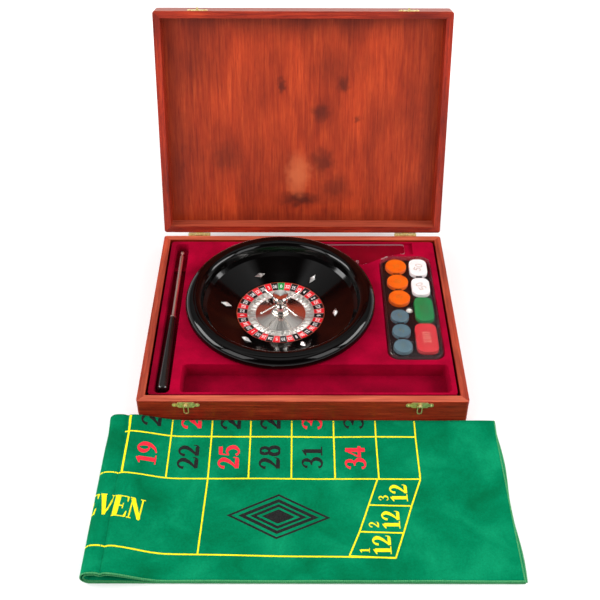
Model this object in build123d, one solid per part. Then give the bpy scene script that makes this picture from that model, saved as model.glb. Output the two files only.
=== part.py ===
from build123d import *
import os
from math import atan2, degrees, radians, tan

os.makedirs("parts", exist_ok=True)

# Roulette set in a hinged wooden case, standing open, with its folded layout cloth in front.
# Millimetres. X runs along the case's front, Y from front to back, Z up.
# The origin is the centre of the case's underside. The case is as wide and as deep as what it
# holds needs, so its outside sizes are worked out from the wheel, the rake and the chips.

# ---- wooden case -------------------------------------------------------------------------
BASE_HEIGHT = 43.0
LID_HEIGHT = 30.0
BOARD = 10.0            # thickness of the side boards
PANEL = 4.0             # plywood bottom and lid panel
REBATE = 5.0            # how far the panels are let into the boards
RIM_GAP = 0.6           # daylight between the two rims when the case is shut
CORNER_ROUND = 4.0      # upright corners
EDGE_ROUND = 1.5        # edge along the outside of the lid and base
RIM_ROUND = 0.8         # edge along the outside of the two rims
OPEN_ANGLE = 106.3      # where the stop hinges hold the lid
RUN_GAP = 0.3           # clearance between things that lift apart
SEAT_GAP = 0.3          # clearance under things that rest in the tray

# ---- stop hinges -------------------------------------------------------------------------
HINGE_LENGTH = 32.0
HINGE_INSET = 53.0      # centre of each hinge from the case's side
HINGE_SET_BACK = 2.9    # pin behind the case's rear face
LEAF = 1.2
LEAF_REACH = 9.0        # up or down the rear face
KNUCKLE_RADIUS = 2.5
PIN_RADIUS = 1.0
PIN_FIT = 0.08
PIN_HEAD = 0.8
STOP_REACH = 7.5        # how far the stop flanges reach from the pin
SCREW_RADIUS = 0.9
SCREW_LENGTH = 6.0
SCREW_HEAD = 1.7

# ---- catches -----------------------------------------------------------------------------
CATCH_INSET = 62.5      # centre of each catch from the case's side
CATCH_WIDTH = 35.0
CATCH_HEIGHT = 9.6
CATCH_PLATE = 0.8
CATCH_LOBE = 3.1        # radius of the round ends of a plate
CATCH_MIDDLE = 0.64     # share of a plate's width that is full height
CATCH_DROP = 6.4        # plate's centre below the base's rim
KEEPER_WIDTH = 29.0
KEEPER_RISE = 5.8       # plate's centre above the lid's rim
HOOK_HEIGHT = 2.2
HOOK_LIP = 0.8
HOOK_RISE = 1.3         # how far the lip stands above the hook
LOOP_WIDTH = 6.8
LOOP_LENGTH = 14.8
LOOP_WIRE = 1.2
LOOP_STAND_OFF = 2.3    # loop's plane in front of the boards
EYE_WALL = 0.9          # of the knob that the loop hangs in
NAIL_RADIUS = 0.5
NAIL_HEAD = 1.1
NAIL_LENGTH = 5.0

# ---- formed tray -------------------------------------------------------------------------
TRAY_GAP = 3.0          # all round, to the boards
TRAY_SHEET = 1.6
TRAY_ROUND = 5.0
MOUTH_ROUND = 0.8       # where the deck turns down into a pocket
DECK_DROP = 1.0         # deck below the base's rim
DRAFT = 1.5             # how much narrower a pocket's floor is, each side
TROUGH_DEPTH = 48.5     # front to back
TROUGH_FLOOR = 22.0     # height of its floor
TROUGH_ROUND = 6.0
SLOT_WIDTH = 20.0
SLOT_ROUND = 7.0

# Deck left standing round and between the pockets, from the left and from the front.
SLOT_MARGIN = 7.0
SLOT_LAND = 6.5
CHIP_LAND = 11.3
CHIP_MARGIN = 7.8
TROUGH_LEFT_LAND = 13.0
TROUGH_RIGHT_MARGIN = 7.0
TROUGH_MARGIN = 3.5
RIM_OVERHANG = 13.5     # how far the wheel's rim reaches over the trough
BACK_MARGIN = 2.5
BLADE_BACK_MARGIN = 4.0
SLOT_FRONT_MARGIN = 2.0
SLOT_BACK_MARGIN = 5.5
BLADE_SIDE_MARGIN = 44.0
BLADE_LAND = 4.8

# ---- wheel -------------------------------------------------------------------------------
RIM_RADIUS = 132.5
RIM_WIDTH = 24.5
RIM_RISE = 18.0         # top of the rim above its flat underside
RIM_SKIRT = 5.0         # upright face at the foot of the rim
BOWL_SHELL = 3.5
SLOPE_RISE = 16.0       # from the rotor's edge up to the ball track
TRACK_WIDTH = 5.0
TRACK_RISE = 4.0
BOWL_FLOOR = 3.2
ROTOR_RADIUS = 62.3
ROTOR_GAP = 0.9
ROTOR_SINK = 1.0        # rotor's edge below the foot of the slope
DISH_CLEAR = 4.9        # under the rotor's dish
DISH_SHEET = 3.0
WASHER = 0.9
POCKETS = 37
RIM_BAND = 1.0
BAND_PROUD = 0.4
RING_WIDTH = 13.6       # band that carries the numbers
RING_FALL = 1.4         # how much it falls towards the pockets
RING_SHEET = 3.0
POCKET_WIDTH = 12.2     # band of ball pockets
POCKET_DEPTH = 4.6
POCKET_SHEET = 1.0
POCKET_STEP = 2.0       # inner wall of the pockets below the outer one
FRET = 0.8
RING_FIT = 0.2
CONE_RISE = 6.5
CONE_SHEET = 1.2
CONE_CROWN_RADIUS = 11.0
SPINDLE_RADIUS = 3.0
SPINDLE_FIT = 0.06
BUSH_WALL = 1.8
HUB_WALL = 6.0
HUB_HEIGHT = 4.6        # of the turret's hub, which the arms stand in
HUB_RADIUS = 7.4
ARMS = 4
ARM_REACH = 36.0
ARM_RADIUS = 1.2
ARM_TIP_RADIUS = 1.8
ARM_TURN = 40.0
NECK_HEIGHT = 6.6
NECK_TOP_RADIUS = 6.0
CROWN_HEIGHT = 6.0
CROWN_RADIUS = 11.8
CROWN_LOBES = 8
CROWN_NOTCH = 2.4       # radius of the hollows between the lobes
DEFLECTORS = 6
DEFLECTOR_LENGTH = 16.5
DEFLECTOR_WIDTH = 8.0
DEFLECTOR_HEIGHT = 3.2
DEFLECTOR_SHIFT = 8.2   # inwards from the middle of the slope
DEFLECTOR_TAPER = 38.0
DEFLECTOR_TURN = 54.0   # direction of the first deflector, seen from above

# ---- rake --------------------------------------------------------------------------------
HANDLE_LENGTH = 134.0
HANDLE_BUTT_RADIUS = 7.2
HANDLE_NECK_RADIUS = 4.9
BUTT_ROUND = 3.2
FERRULE_LENGTH = 5.0
ROD_RADIUS = 2.9
ROD_LENGTH = 133.0
NECK_RADIUS = 1.4
NECK_LENGTH = 5.0
TIP_RADIUS = 2.9
TIP_LENGTH = 4.6
RAKE_END_ROOM = 9.0     # in the slot, in front of the butt
RAKE_TIP_ROOM = 5.0     # at least, behind the tip
RAKE_PROUD = 0.7        # top of the grip above the deck
SADDLE_WIDTH = 8.0
SADDLE_SHARE = 0.8      # of the way along the rod
BLADE_WIDTH = 143.0
BLADE_DEPTH = 48.0
BLADE_END = 21.0        # depth of the blade at its ends
BLADE_SHEET = 2.6
BLADE_ROUND = 3.5
BLADE_BEVEL = 0.4
BLADE_HOLE = 2.2
BLADE_HOLE_LAND = 8.0   # hole's centre from the curved edge
BLADE_CLEARANCE = 1.2
BLADE_LIFT_ROOM = 12.5  # beside its end, for a finger
BLADE_FRONT_ROOM = 4.0

# ---- chips and their box -----------------------------------------------------------------
CHIP = 3.1              # thickness of one chip or plaque
CHIP_COUNT = 5
CHIP_ROUND = 0.5        # edge of a chip or plaque
ROUND_COUNT = 3
ORANGE_RADIUS = 15.0
ORANGE_GAP = 4.0
BLUE_RADIUS = 12.5
BLUE_GAP = 4.0
GROUP_GAP = 10.0        # between the orange and the blue stacks
WHITE_WIDTH = 25.4
WHITE_LENGTH = 36.0
GREEN_WIDTH = 25.4
GREEN_LENGTH = 47.6
RED_WIDTH = 29.0
RED_LENGTH = 54.4
PLAQUE_GAP = 5.4
PLAQUE_ROUND = 10.0
COLUMN_GAP = 4.6        # between the rounds and the plaques
FLANK_TUCK = 0.0        # how far the green plaques tuck into the orange chips' round flank
WELL_MARGIN_LEFT = 7.0
WELL_MARGIN_RIGHT = 5.0
WELL_MARGIN_BACK = 6.0
WELL_MARGIN_FRONT = 10.0
CHIP_FIT = 0.5
STACK_PROUD = 4.8       # top of a stack above the insert
HEAD_ROOM = 5.8         # above the insert, under the cover
POST_WIDTH = 9.0        # of the posts that stand between the stacks of a column
POST_RISE = 3.6         # top of a post above the insert
CHIP_BOX_ROUND = 15.0
CHIP_BOX_SHEET = 1.4
CHIP_BOX_PROUD = 3.0    # top of its cover above the deck
CHIP_BOX_HEIGHT = 25.0
CHIP_BOX_ROOM = 2.2     # all round, in the tray
BOX_LIP = 1.0           # top of the box below the insert's
COVER_SHEET = 1.2
COVER_SKIRT = 12.0
COVER_ROUND = 1.0
INSERT_FIT = 0.1
BALL_RADIUS = 5.0
BALL_LAND = 0.95        # insert left between the ball and the green plaques
BALL_SINK = 3.2         # its middle below the top of the insert
BALL_SHIFT = 1.6        # from the middle of the gap towards the blue stacks

# ---- layout cloth ------------------------------------------------------------------------
CLOTH_WIDTH = 490.0     # folded in four
CLOTH_DEPTH = 226.0
CLOTH_PLY = 1.0         # one thickness of felt
CLOTH_ROLL = 19.0       # height of the loose fold at the left
CLOTH_ROLL_RUN = 85.0
CLOTH_BACK_ROLL = 9.0   # height of the fold along the case
CLOTH_BACK_RUN = 30.0
CLOTH_BACK_REACH = 75.0
CLOTH_CREASE = 12.0     # where the hollow of a roll ends, short of its run

# ---- worked out: what the tray has to hold -------------------------------------------------
ORANGE_COLUMN = ROUND_COUNT * (2 * ORANGE_RADIUS + ORANGE_GAP) - ORANGE_GAP
BLUE_COLUMN = ROUND_COUNT * (2 * BLUE_RADIUS + BLUE_GAP) - BLUE_GAP
ROUNDS_LENGTH = ORANGE_COLUMN + GROUP_GAP + BLUE_COLUMN
PLAQUES_LENGTH = 2 * WHITE_LENGTH + GREEN_LENGTH + RED_LENGTH + 3 * PLAQUE_GAP
WELLS_LENGTH = max(ROUNDS_LENGTH, PLAQUES_LENGTH)
WELLS_WIDTH = COLUMN_GAP + max(
    2 * ORANGE_RADIUS + max(WHITE_WIDTH, GREEN_WIDTH - FLANK_TUCK),
    2 * BLUE_RADIUS + max(GREEN_WIDTH, RED_WIDTH),
)
CHIP_BOX_WIDTH = WELL_MARGIN_LEFT + WELLS_WIDTH + WELL_MARGIN_RIGHT
CHIP_BOX_LENGTH = WELL_MARGIN_BACK + WELLS_LENGTH + WELL_MARGIN_FRONT
CHIP_PLACE_WIDTH = CHIP_BOX_WIDTH + 2 * CHIP_BOX_ROOM
CHIP_PLACE_LENGTH = CHIP_BOX_LENGTH + 2 * CHIP_BOX_ROOM
BLADE_PLACE_DEPTH = BLADE_END + BLADE_FRONT_ROOM
RAKE_LENGTH = HANDLE_LENGTH + ROD_LENGTH + NECK_LENGTH + TIP_LENGTH
TROUGH_REACH = TROUGH_MARGIN + TROUGH_DEPTH - RIM_OVERHANG
WHEEL_REACH = TROUGH_REACH + 2 * RIM_RADIUS + BACK_MARGIN
CHIP_REACH = TROUGH_REACH + CHIP_PLACE_LENGTH + BLADE_LAND + BLADE_PLACE_DEPTH + BLADE_BACK_MARGIN
RAKE_REACH = SLOT_FRONT_MARGIN + RAKE_END_ROOM + RAKE_LENGTH + RAKE_TIP_ROOM + SLOT_BACK_MARGIN

# ---- worked out: the case ------------------------------------------------------------------
TRAY_WIDTH = SLOT_MARGIN + SLOT_WIDTH + SLOT_LAND + 2 * RIM_RADIUS + CHIP_LAND + CHIP_PLACE_WIDTH + CHIP_MARGIN
TRAY_DEPTH = max(WHEEL_REACH, CHIP_REACH, RAKE_REACH)
INSIDE_WIDTH = TRAY_WIDTH + 2 * TRAY_GAP
INSIDE_DEPTH = TRAY_DEPTH + 2 * TRAY_GAP
CASE_WIDTH = INSIDE_WIDTH + 2 * BOARD
CASE_DEPTH = INSIDE_DEPTH + 2 * BOARD
FRONT = -CASE_DEPTH / 2
BACK = CASE_DEPTH / 2
LID_RIM = BASE_HEIGHT + RIM_GAP
LID_TOP = LID_RIM + LID_HEIGHT
HINGE_SPREAD = CASE_WIDTH / 2 - HINGE_INSET
CATCH_SPREAD = CASE_WIDTH / 2 - CATCH_INSET
HINGE_Y = BACK + HINGE_SET_BACK
HINGE_Z = BASE_HEIGHT + RIM_GAP / 2
LEAF_START = KNUCKLE_RADIUS + RUN_GAP
HOOK_Z = BASE_HEIGHT - CATCH_DROP + LOOP_LENGTH - LOOP_WIRE
DECK = BASE_HEIGHT - DECK_DROP
TRAY_FLOOR = PANEL + TRAY_SHEET
TRAY_LEFT, TRAY_RIGHT = -TRAY_WIDTH / 2, TRAY_WIDTH / 2
TRAY_FRONT, TRAY_BACK = -TRAY_DEPTH / 2, TRAY_DEPTH / 2

# ---- worked out: places in the tray --------------------------------------------------------
RAKE_X = TRAY_LEFT + SLOT_MARGIN + SLOT_WIDTH / 2
RAKE_Z = DECK - HANDLE_BUTT_RADIUS + RAKE_PROUD
SLOT_FRONT = TRAY_FRONT + SLOT_FRONT_MARGIN
SLOT_BACK = TRAY_BACK - SLOT_BACK_MARGIN
SLOT_FLOOR = RAKE_Z - HANDLE_BUTT_RADIUS - SEAT_GAP
RAKE_BUTT_Y = SLOT_FRONT + RAKE_END_ROOM
FERRULE_Y = RAKE_BUTT_Y + HANDLE_LENGTH
ROD_Y = FERRULE_Y + FERRULE_LENGTH
NECK_Y = FERRULE_Y + ROD_LENGTH
WHEEL_X = RAKE_X + SLOT_WIDTH / 2 + SLOT_LAND + RIM_RADIUS
WHEEL_Y = TRAY_FRONT + TROUGH_REACH + RIM_RADIUS
BLADE_X = TRAY_RIGHT - BLADE_SIDE_MARGIN - BLADE_WIDTH / 2
BLADE_BACK_Y = TRAY_BACK - BLADE_BACK_MARGIN
BLADE_LOW = DECK - BLADE_SHEET - BLADE_CLEARANCE
CHIP_BOX_X = TRAY_RIGHT - CHIP_MARGIN - CHIP_PLACE_WIDTH / 2
CHIP_BOX_Y = BLADE_BACK_Y - BLADE_PLACE_DEPTH - BLADE_LAND - CHIP_PLACE_LENGTH / 2
COVER_TOP = DECK + CHIP_BOX_PROUD
CHIP_BOX_LOW = COVER_TOP - CHIP_BOX_HEIGHT
INSERT_TOP = COVER_TOP - COVER_SHEET - HEAD_ROOM
STACK_HEIGHT = CHIP * CHIP_COUNT
WELL_FLOOR = INSERT_TOP - STACK_HEIGHT + STACK_PROUD
BALL_Z = INSERT_TOP - BALL_SINK

# ---- worked out: heights and radii of the wheel --------------------------------------------
BOWL_LOW = TRAY_FLOOR + SEAT_GAP
BOWL_TOP_OF_FLOOR = BOWL_LOW + BOWL_FLOOR
RIM_LOW = DECK + SEAT_GAP
RIM_TOP = RIM_LOW + RIM_RISE
TRACK_RADIUS = RIM_RADIUS - RIM_WIDTH
WELL_RADIUS = ROTOR_RADIUS + ROTOR_GAP
HUB_LOW = BOWL_TOP_OF_FLOOR + WASHER + RUN_GAP
DISH_LOW = BOWL_TOP_OF_FLOOR + DISH_CLEAR
DISH_TOP = DISH_LOW + DISH_SHEET
POCKET_FLOOR = DISH_TOP + POCKET_SHEET
POCKET_TOP = POCKET_FLOOR + POCKET_DEPTH
CONE_LOW = POCKET_TOP - POCKET_STEP
CONE_TOP = CONE_LOW + CONE_RISE
RING_TOP = POCKET_TOP + RING_FALL
RING_LOW = RING_TOP - RING_SHEET
RING_OUTER = ROTOR_RADIUS - RIM_BAND
RING_INNER = RING_OUTER - RING_WIDTH
POCKET_OUTER = RING_INNER - RING_FIT
POCKET_INNER = POCKET_OUTER - POCKET_WIDTH
SLOPE_LOW = RING_TOP + ROTOR_SINK
SLOPE_HIGH = SLOPE_LOW + SLOPE_RISE


def save(node, *solids):
    """Write the solids of one sub-part to its own file."""
    pieces = [piece for shape in solids for piece in shape.solids()]
    export_step(Compound(children=pieces) if len(pieces) > 1 else pieces[0], f"parts/{node}.step")


def block(low, high):
    """A box between two corners."""
    size = [b - a for a, b in zip(low, high)]
    return Pos(*low) * Box(*size, align=(Align.MIN,) * 3)


def plate(outline, low, height):
    """A flat outline carried straight up from a height."""
    return Pos(0, 0, low) * extrude(outline, height)


def turned(profile, x=0.0, y=0.0):
    """Turn an outline of (radius, height) points about an upright axis."""
    outline = make_face(Polyline(*[(r, 0, z) for r, z in profile], close=True))
    return Pos(x, y, 0) * revolve(outline, Axis.Z)


def opened(shape):
    """Swing a piece of the shut lid to where the stop hinges hold it."""
    axis = Axis((0, HINGE_Y, HINGE_Z), (1, 0, 0))
    return shape.rotate(axis, -OPEN_ANGLE)


# ---- case boards -------------------------------------------------------------------------

def board_ring(low, height, panel_at_top):
    """Four mitred boards as one ring, rounded outside and rebated for their panel."""
    outer = plate(RectangleRounded(CASE_WIDTH, CASE_DEPTH, CORNER_ROUND), low, height)
    bottom, top = outer.faces().sort_by(Axis.Z)[0], outer.faces().sort_by(Axis.Z)[-1]
    panel_side, rim_side = (top, bottom) if panel_at_top else (bottom, top)
    outer = fillet(panel_side.edges(), EDGE_ROUND)
    rim_level = low if panel_at_top else low + height
    rim_edges = outer.edges().filter_by_position(Axis.Z, rim_level, rim_level)
    outer = fillet(rim_edges, RIM_ROUND)
    inner = plate(Rectangle(INSIDE_WIDTH, INSIDE_DEPTH), low, height)
    rebate_low = low + height - PANEL if panel_at_top else low
    return outer - inner - panel(rebate_low)


def panel(low):
    """The plywood panel that closes a ring of boards."""
    return plate(Rectangle(INSIDE_WIDTH + 2 * REBATE, INSIDE_DEPTH + 2 * REBATE), low, PANEL)


def board_of(ring, side, low, height):
    """The board on one side of a ring, cut by the mitres at its two corners."""
    half_x, half_y = CASE_WIDTH / 2, CASE_DEPTH / 2
    reach, past = 2 * BOARD, BOARD
    if side in ("front", "back"):
        near, far = half_x + past, half_x - reach
        points = [(-near, half_y + past), (near, half_y + past), (far, half_y - reach), (-far, half_y - reach)]
    else:
        near, far = half_y + past, half_y - reach
        points = [(half_x + past, -near), (half_x + past, near), (half_x - reach, far), (half_x - reach, -far)]
    if side in ("front", "left"):
        points = [(-x, -y) for x, y in points]
    wedge = make_face(Polyline(*points, close=True))
    return ring & plate(wedge, low, height)


# ---- hinges ------------------------------------------------------------------------------

def hinge_screw_places(x):
    """Where the three screws of a leaf stand, along the case."""
    step = HINGE_LENGTH / 3
    return [x + k * step for k in (-1, 0, 1)]


def screw(x, lower):
    """A countersunk screw through a leaf into the rear board, its head flush with the leaf."""
    way = -1 if lower else 1
    profile = [
        (0, 0),
        (SCREW_HEAD, 0),
        (SCREW_RADIUS, SCREW_RADIUS - SCREW_HEAD),
        (SCREW_RADIUS, SCREW_RADIUS - SCREW_LENGTH),
        (0, -SCREW_LENGTH),
    ]
    height = HINGE_Z + way * (LEAF_START + LEAF_REACH / 2)
    return Pos(x, BACK + LEAF, height) * Rot(-90, 0, 0) * turned(profile)


def pin_line(start):
    """A plane square to the hinge pins, at a place along the case; its own X points back."""
    return Plane((start, HINGE_Y, HINGE_Z), x_dir=(0, 1, 0), z_dir=(1, 0, 0))


def hinge_leaf(x, lower):
    """One leaf of a stop hinge in the shut position: plate, knuckles and stop flange."""
    way = -1 if lower else 1
    flange_turn = Rot(0, 0, -OPEN_ANGLE / 2 if lower else OPEN_ANGLE / 2)
    flange_low = -LEAF - RUN_GAP / 2 if lower else RUN_GAP / 2
    left, right = x - HINGE_LENGTH / 2, x + HINGE_LENGTH / 2
    ends = sorted([HINGE_Z + way * LEAF_START, HINGE_Z + way * (LEAF_START + LEAF_REACH)])
    leaf = block((left, BACK, ends[0]), (right, BACK + LEAF, ends[1]))
    flange = Pos(0, flange_low) * Rectangle(STOP_REACH, LEAF, align=(Align.MIN, Align.MIN))
    leaf += extrude(pin_line(left) * flange_turn * flange, HINGE_LENGTH)
    leaf -= extrude(pin_line(left) * Circle(KNUCKLE_RADIUS + RUN_GAP), HINGE_LENGTH)
    third = HINGE_LENGTH / 3
    spans = [(0, third - RUN_GAP / 2), (2 * third + RUN_GAP / 2, HINGE_LENGTH)]
    if not lower:
        spans = [(third + RUN_GAP / 2, 2 * third - RUN_GAP / 2)]
    neck = Pos(LEAF / 2 - HINGE_SET_BACK, way * LEAF_START / 2) * Rectangle(LEAF, LEAF_START)
    root = Pos(0, flange_low) * Rectangle(STOP_REACH / 2, LEAF, align=(Align.MIN, Align.MIN))
    section = Circle(KNUCKLE_RADIUS) + neck + flange_turn * root - Circle(PIN_RADIUS + PIN_FIT)
    for start, end in spans:
        leaf += extrude(pin_line(left + start) * section, end - start)
    for screw_x in hinge_screw_places(x):
        leaf -= screw(screw_x, lower)
    return leaf


def hinge_pin(x):
    """The pin, with a small head at each end of the knuckles."""
    left, right = x - HINGE_LENGTH / 2, x + HINGE_LENGTH / 2
    pin = extrude(pin_line(left - PIN_HEAD) * Circle(PIN_RADIUS), HINGE_LENGTH + 2 * PIN_HEAD)
    for start in (left - PIN_HEAD, right):
        pin += extrude(pin_line(start) * Circle(PIN_RADIUS + PIN_HEAD), PIN_HEAD)
    return pin


# ---- catches -----------------------------------------------------------------------------

def catch_outline(width):
    """A shaped plate: a full-height middle with rounded corners and a round lobe at each end."""
    outline = RectangleRounded(CATCH_MIDDLE * width, CATCH_HEIGHT, CATCH_HEIGHT / 3)
    outline += Rectangle(width - 2 * CATCH_LOBE, 1.6 * CATCH_LOBE)
    for side in (-1, 1):
        outline += Pos(side * (width / 2 - CATCH_LOBE)) * Circle(CATCH_LOBE)
    return outline


def nail_places(width):
    """The nails stand in the end lobes of a plate."""
    return [-(width / 2 - CATCH_LOBE), width / 2 - CATCH_LOBE]


def on_front(x, z, stand_off=0.0):
    """A plane on the case's front, facing the user, at a place along it."""
    return Plane((x, FRONT - stand_off, z), x_dir=(1, 0, 0), z_dir=(0, -1, 0))


def across_front(x, z, stand_off):
    """A plane square to the case's front edge, in front of the boards; its own X points back."""
    return Plane((x, FRONT - stand_off, z), x_dir=(0, 1, 0), z_dir=(1, 0, 0))


def nail(x, z):
    """A round-headed brass nail driven from the front through a catch's plate."""
    shank = extrude(on_front(x, z, CATCH_PLATE) * Circle(NAIL_RADIUS), -NAIL_LENGTH)
    head = extrude(on_front(x, z, CATCH_PLATE) * Circle(NAIL_HEAD), NAIL_HEAD / 2, taper=25)
    return shank + head


def catch_plate(x, z):
    """The base plate of a catch with the knob that carries its loop."""
    body = extrude(on_front(x, z) * catch_outline(CATCH_WIDTH), CATCH_PLATE)
    eye_width = LOOP_WIDTH - 2 * LOOP_WIRE - 2 * RUN_GAP
    eye_radius = LOOP_WIRE + EYE_WALL
    line = across_front(x - eye_width / 2, z, LOOP_STAND_OFF)
    section = Circle(eye_radius) + Pos(LOOP_STAND_OFF / 2, 0) * Rectangle(LOOP_STAND_OFF, 2 * eye_radius)
    body += extrude(line * section, eye_width)
    body -= extrude(line * Circle(LOOP_WIRE / 2 + RUN_GAP), eye_width)
    for place in nail_places(CATCH_WIDTH):
        body -= nail(x + place, z)
    return body


def catch_loop(x, z):
    """The hanging loop: a bent wire with its upper bar through the knob and a round lower end."""
    half_wire, half_width = LOOP_WIRE / 2, LOOP_WIDTH / 2
    straight = LOOP_LENGTH - half_width - half_wire
    plane = on_front(x, z, LOOP_STAND_OFF - half_wire)
    bend = Pos(0, -straight)
    outside = Pos(0, -straight / 2) * Rectangle(LOOP_WIDTH, straight) + bend * Circle(half_width)
    inside_width = LOOP_WIDTH - 2 * LOOP_WIRE
    inside = Pos(0, -straight / 2) * Rectangle(inside_width, straight) + bend * Circle(inside_width / 2)
    wire = extrude(plane * (outside - inside), LOOP_WIRE)
    bar = extrude(across_front(x - LOOP_WIDTH / 2, z, LOOP_STAND_OFF) * Circle(half_wire), LOOP_WIDTH)
    return wire + bar


def keeper(x, z):
    """The lid's plate, with the hook that the loop is drawn over."""
    body = extrude(on_front(x, z) * catch_outline(KEEPER_WIDTH), CATCH_PLATE)
    half = LOOP_WIDTH / 2 - LOOP_WIRE - 3 * RUN_GAP
    reach = FRONT - LOOP_STAND_OFF - LOOP_WIRE / 2 - 1.5 * RUN_GAP
    top = HOOK_Z - LOOP_WIRE / 2 - 3 * RUN_GAP
    low = top - HOOK_HEIGHT
    body += block((x - half, reach, low), (x + half, FRONT, top))
    body += block((x - half, reach - HOOK_LIP, low), (x + half, reach + RUN_GAP, top + HOOK_RISE))
    for place in nail_places(KEEPER_WIDTH):
        body -= nail(x + place, z)
    return body


# ---- formed tray -------------------------------------------------------------------------

def rounded(x_low, x_high, y_low, y_high, radius):
    """An outline maker for a round-cornered pocket between four lines."""
    def outline_at(offset):
        shape = RectangleRounded(x_high - x_low + 2 * offset, y_high - y_low + 2 * offset, radius + offset)
        return Pos((x_low + x_high) / 2, (y_low + y_high) / 2) * shape
    return outline_at


def wheel_well(offset):
    """The round place that takes the bowl's body below its rim."""
    return Pos(WHEEL_X, WHEEL_Y) * Circle(TRACK_RADIUS + BOWL_SHELL + 2 * SEAT_GAP + DRAFT + offset)


def pocket(outline_at, floor, grow=0.0):
    """A drafted pocket up to the deck; outline_at gives its outline for an offset."""
    low = Pos(0, 0, floor - grow) * outline_at(grow - DRAFT)
    high = Pos(0, 0, DECK) * outline_at(grow)
    return loft([low, high], ruled=True)


def tray_pockets():
    """Every deep pocket of the tray: its outline maker and its floor."""
    trough = rounded(RAKE_X + SLOT_WIDTH / 2 + TROUGH_LEFT_LAND, TRAY_RIGHT - TROUGH_RIGHT_MARGIN,
                     TRAY_FRONT + TROUGH_MARGIN, TRAY_FRONT + TROUGH_MARGIN + TROUGH_DEPTH, TROUGH_ROUND)
    slot = rounded(RAKE_X - SLOT_WIDTH / 2, RAKE_X + SLOT_WIDTH / 2, SLOT_FRONT, SLOT_BACK, SLOT_ROUND)
    chips = rounded(CHIP_BOX_X - CHIP_PLACE_WIDTH / 2, CHIP_BOX_X + CHIP_PLACE_WIDTH / 2,
                    CHIP_BOX_Y - CHIP_PLACE_LENGTH / 2, CHIP_BOX_Y + CHIP_PLACE_LENGTH / 2, CHIP_BOX_ROUND)
    chip_floor = CHIP_BOX_LOW - SEAT_GAP
    return [(wheel_well, TRAY_FLOOR), (slot, SLOT_FLOOR), (chips, chip_floor), (trough, TROUGH_FLOOR)]


def blade_outline(grow=0.0):
    """The rake's blade: a straight edge, round-cornered ends and a back that swells to a point."""
    half = BLADE_WIDTH / 2
    flank = [(0.58 * half, -1.42 * BLADE_END), (0.23 * half, -0.92 * BLADE_DEPTH)]
    right = [(half, 0), (half, -BLADE_END)] + flank
    left = [(-x, y) for x, y in reversed(right)]
    sides = Polyline(*(left + right))
    tip = ThreePointArc(right[-1], (0, -BLADE_DEPTH), left[0])
    face = make_face([sides, tip])
    ends = face.vertices().filter_by_position(Axis.X, -half, -half)
    ends += face.vertices().filter_by_position(Axis.X, half, half)
    face = fillet(ends, BLADE_ROUND)
    if grow:
        face = offset(face, grow, kind=Kind.INTERSECTION)
    return Pos(BLADE_X, BLADE_BACK_Y) * face


def blade_recess(grow=0.0):
    """The shallow place for the blade, open towards the wheel and beside the blade's end."""
    floor = BLADE_LOW - SEAT_GAP - grow
    side = BLADE_X + BLADE_WIDTH / 2 + BLADE_LIFT_ROOM + grow
    room = block((BLADE_X, BLADE_BACK_Y - BLADE_PLACE_DEPTH - grow, floor),
                 (side, BLADE_BACK_Y + BLADE_CLEARANCE + grow, DECK))
    return plate(blade_outline(BLADE_CLEARANCE + grow), floor, DECK - floor) + room


def rake_saddle():
    """The raised rib across the slot that the rake's rod lies on."""
    middle = ROD_Y + SADDLE_SHARE * (ROD_LENGTH - FERRULE_LENGTH)
    low, top = SLOT_FLOOR - TRAY_SHEET / 2, RAKE_Z - ROD_RADIUS - SEAT_GAP
    return block((RAKE_X - SLOT_WIDTH / 2, middle - SADDLE_WIDTH / 2, low),
                 (RAKE_X + SLOT_WIDTH / 2, middle + SADDLE_WIDTH / 2, top))


def tray_insert():
    """A flocked sheet drawn down into pockets round everything the case holds."""
    outline = RectangleRounded(TRAY_WIDTH, TRAY_DEPTH, TRAY_ROUND)
    width, depth = TRAY_WIDTH - 2 * TRAY_SHEET, TRAY_DEPTH - 2 * TRAY_SHEET
    within = RectangleRounded(width, depth, TRAY_ROUND - TRAY_SHEET)
    tray = plate(outline, PANEL, DECK - PANEL) - plate(within, PANEL, DECK - PANEL - TRAY_SHEET)
    pockets = tray_pockets()
    for outline_at, floor in pockets:
        tray += pocket(outline_at, floor, TRAY_SHEET)
    tray += blade_recess(TRAY_SHEET)
    for outline_at, floor in pockets:
        tray -= pocket(outline_at, floor)
    deck = tray.faces().filter_by(Plane.XY).sort_by(Axis.Z)[-1]
    tray = fillet(deck.edges(), MOUTH_ROUND)
    return tray - blade_recess() + rake_saddle()


# ---- wheel -------------------------------------------------------------------------------

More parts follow.
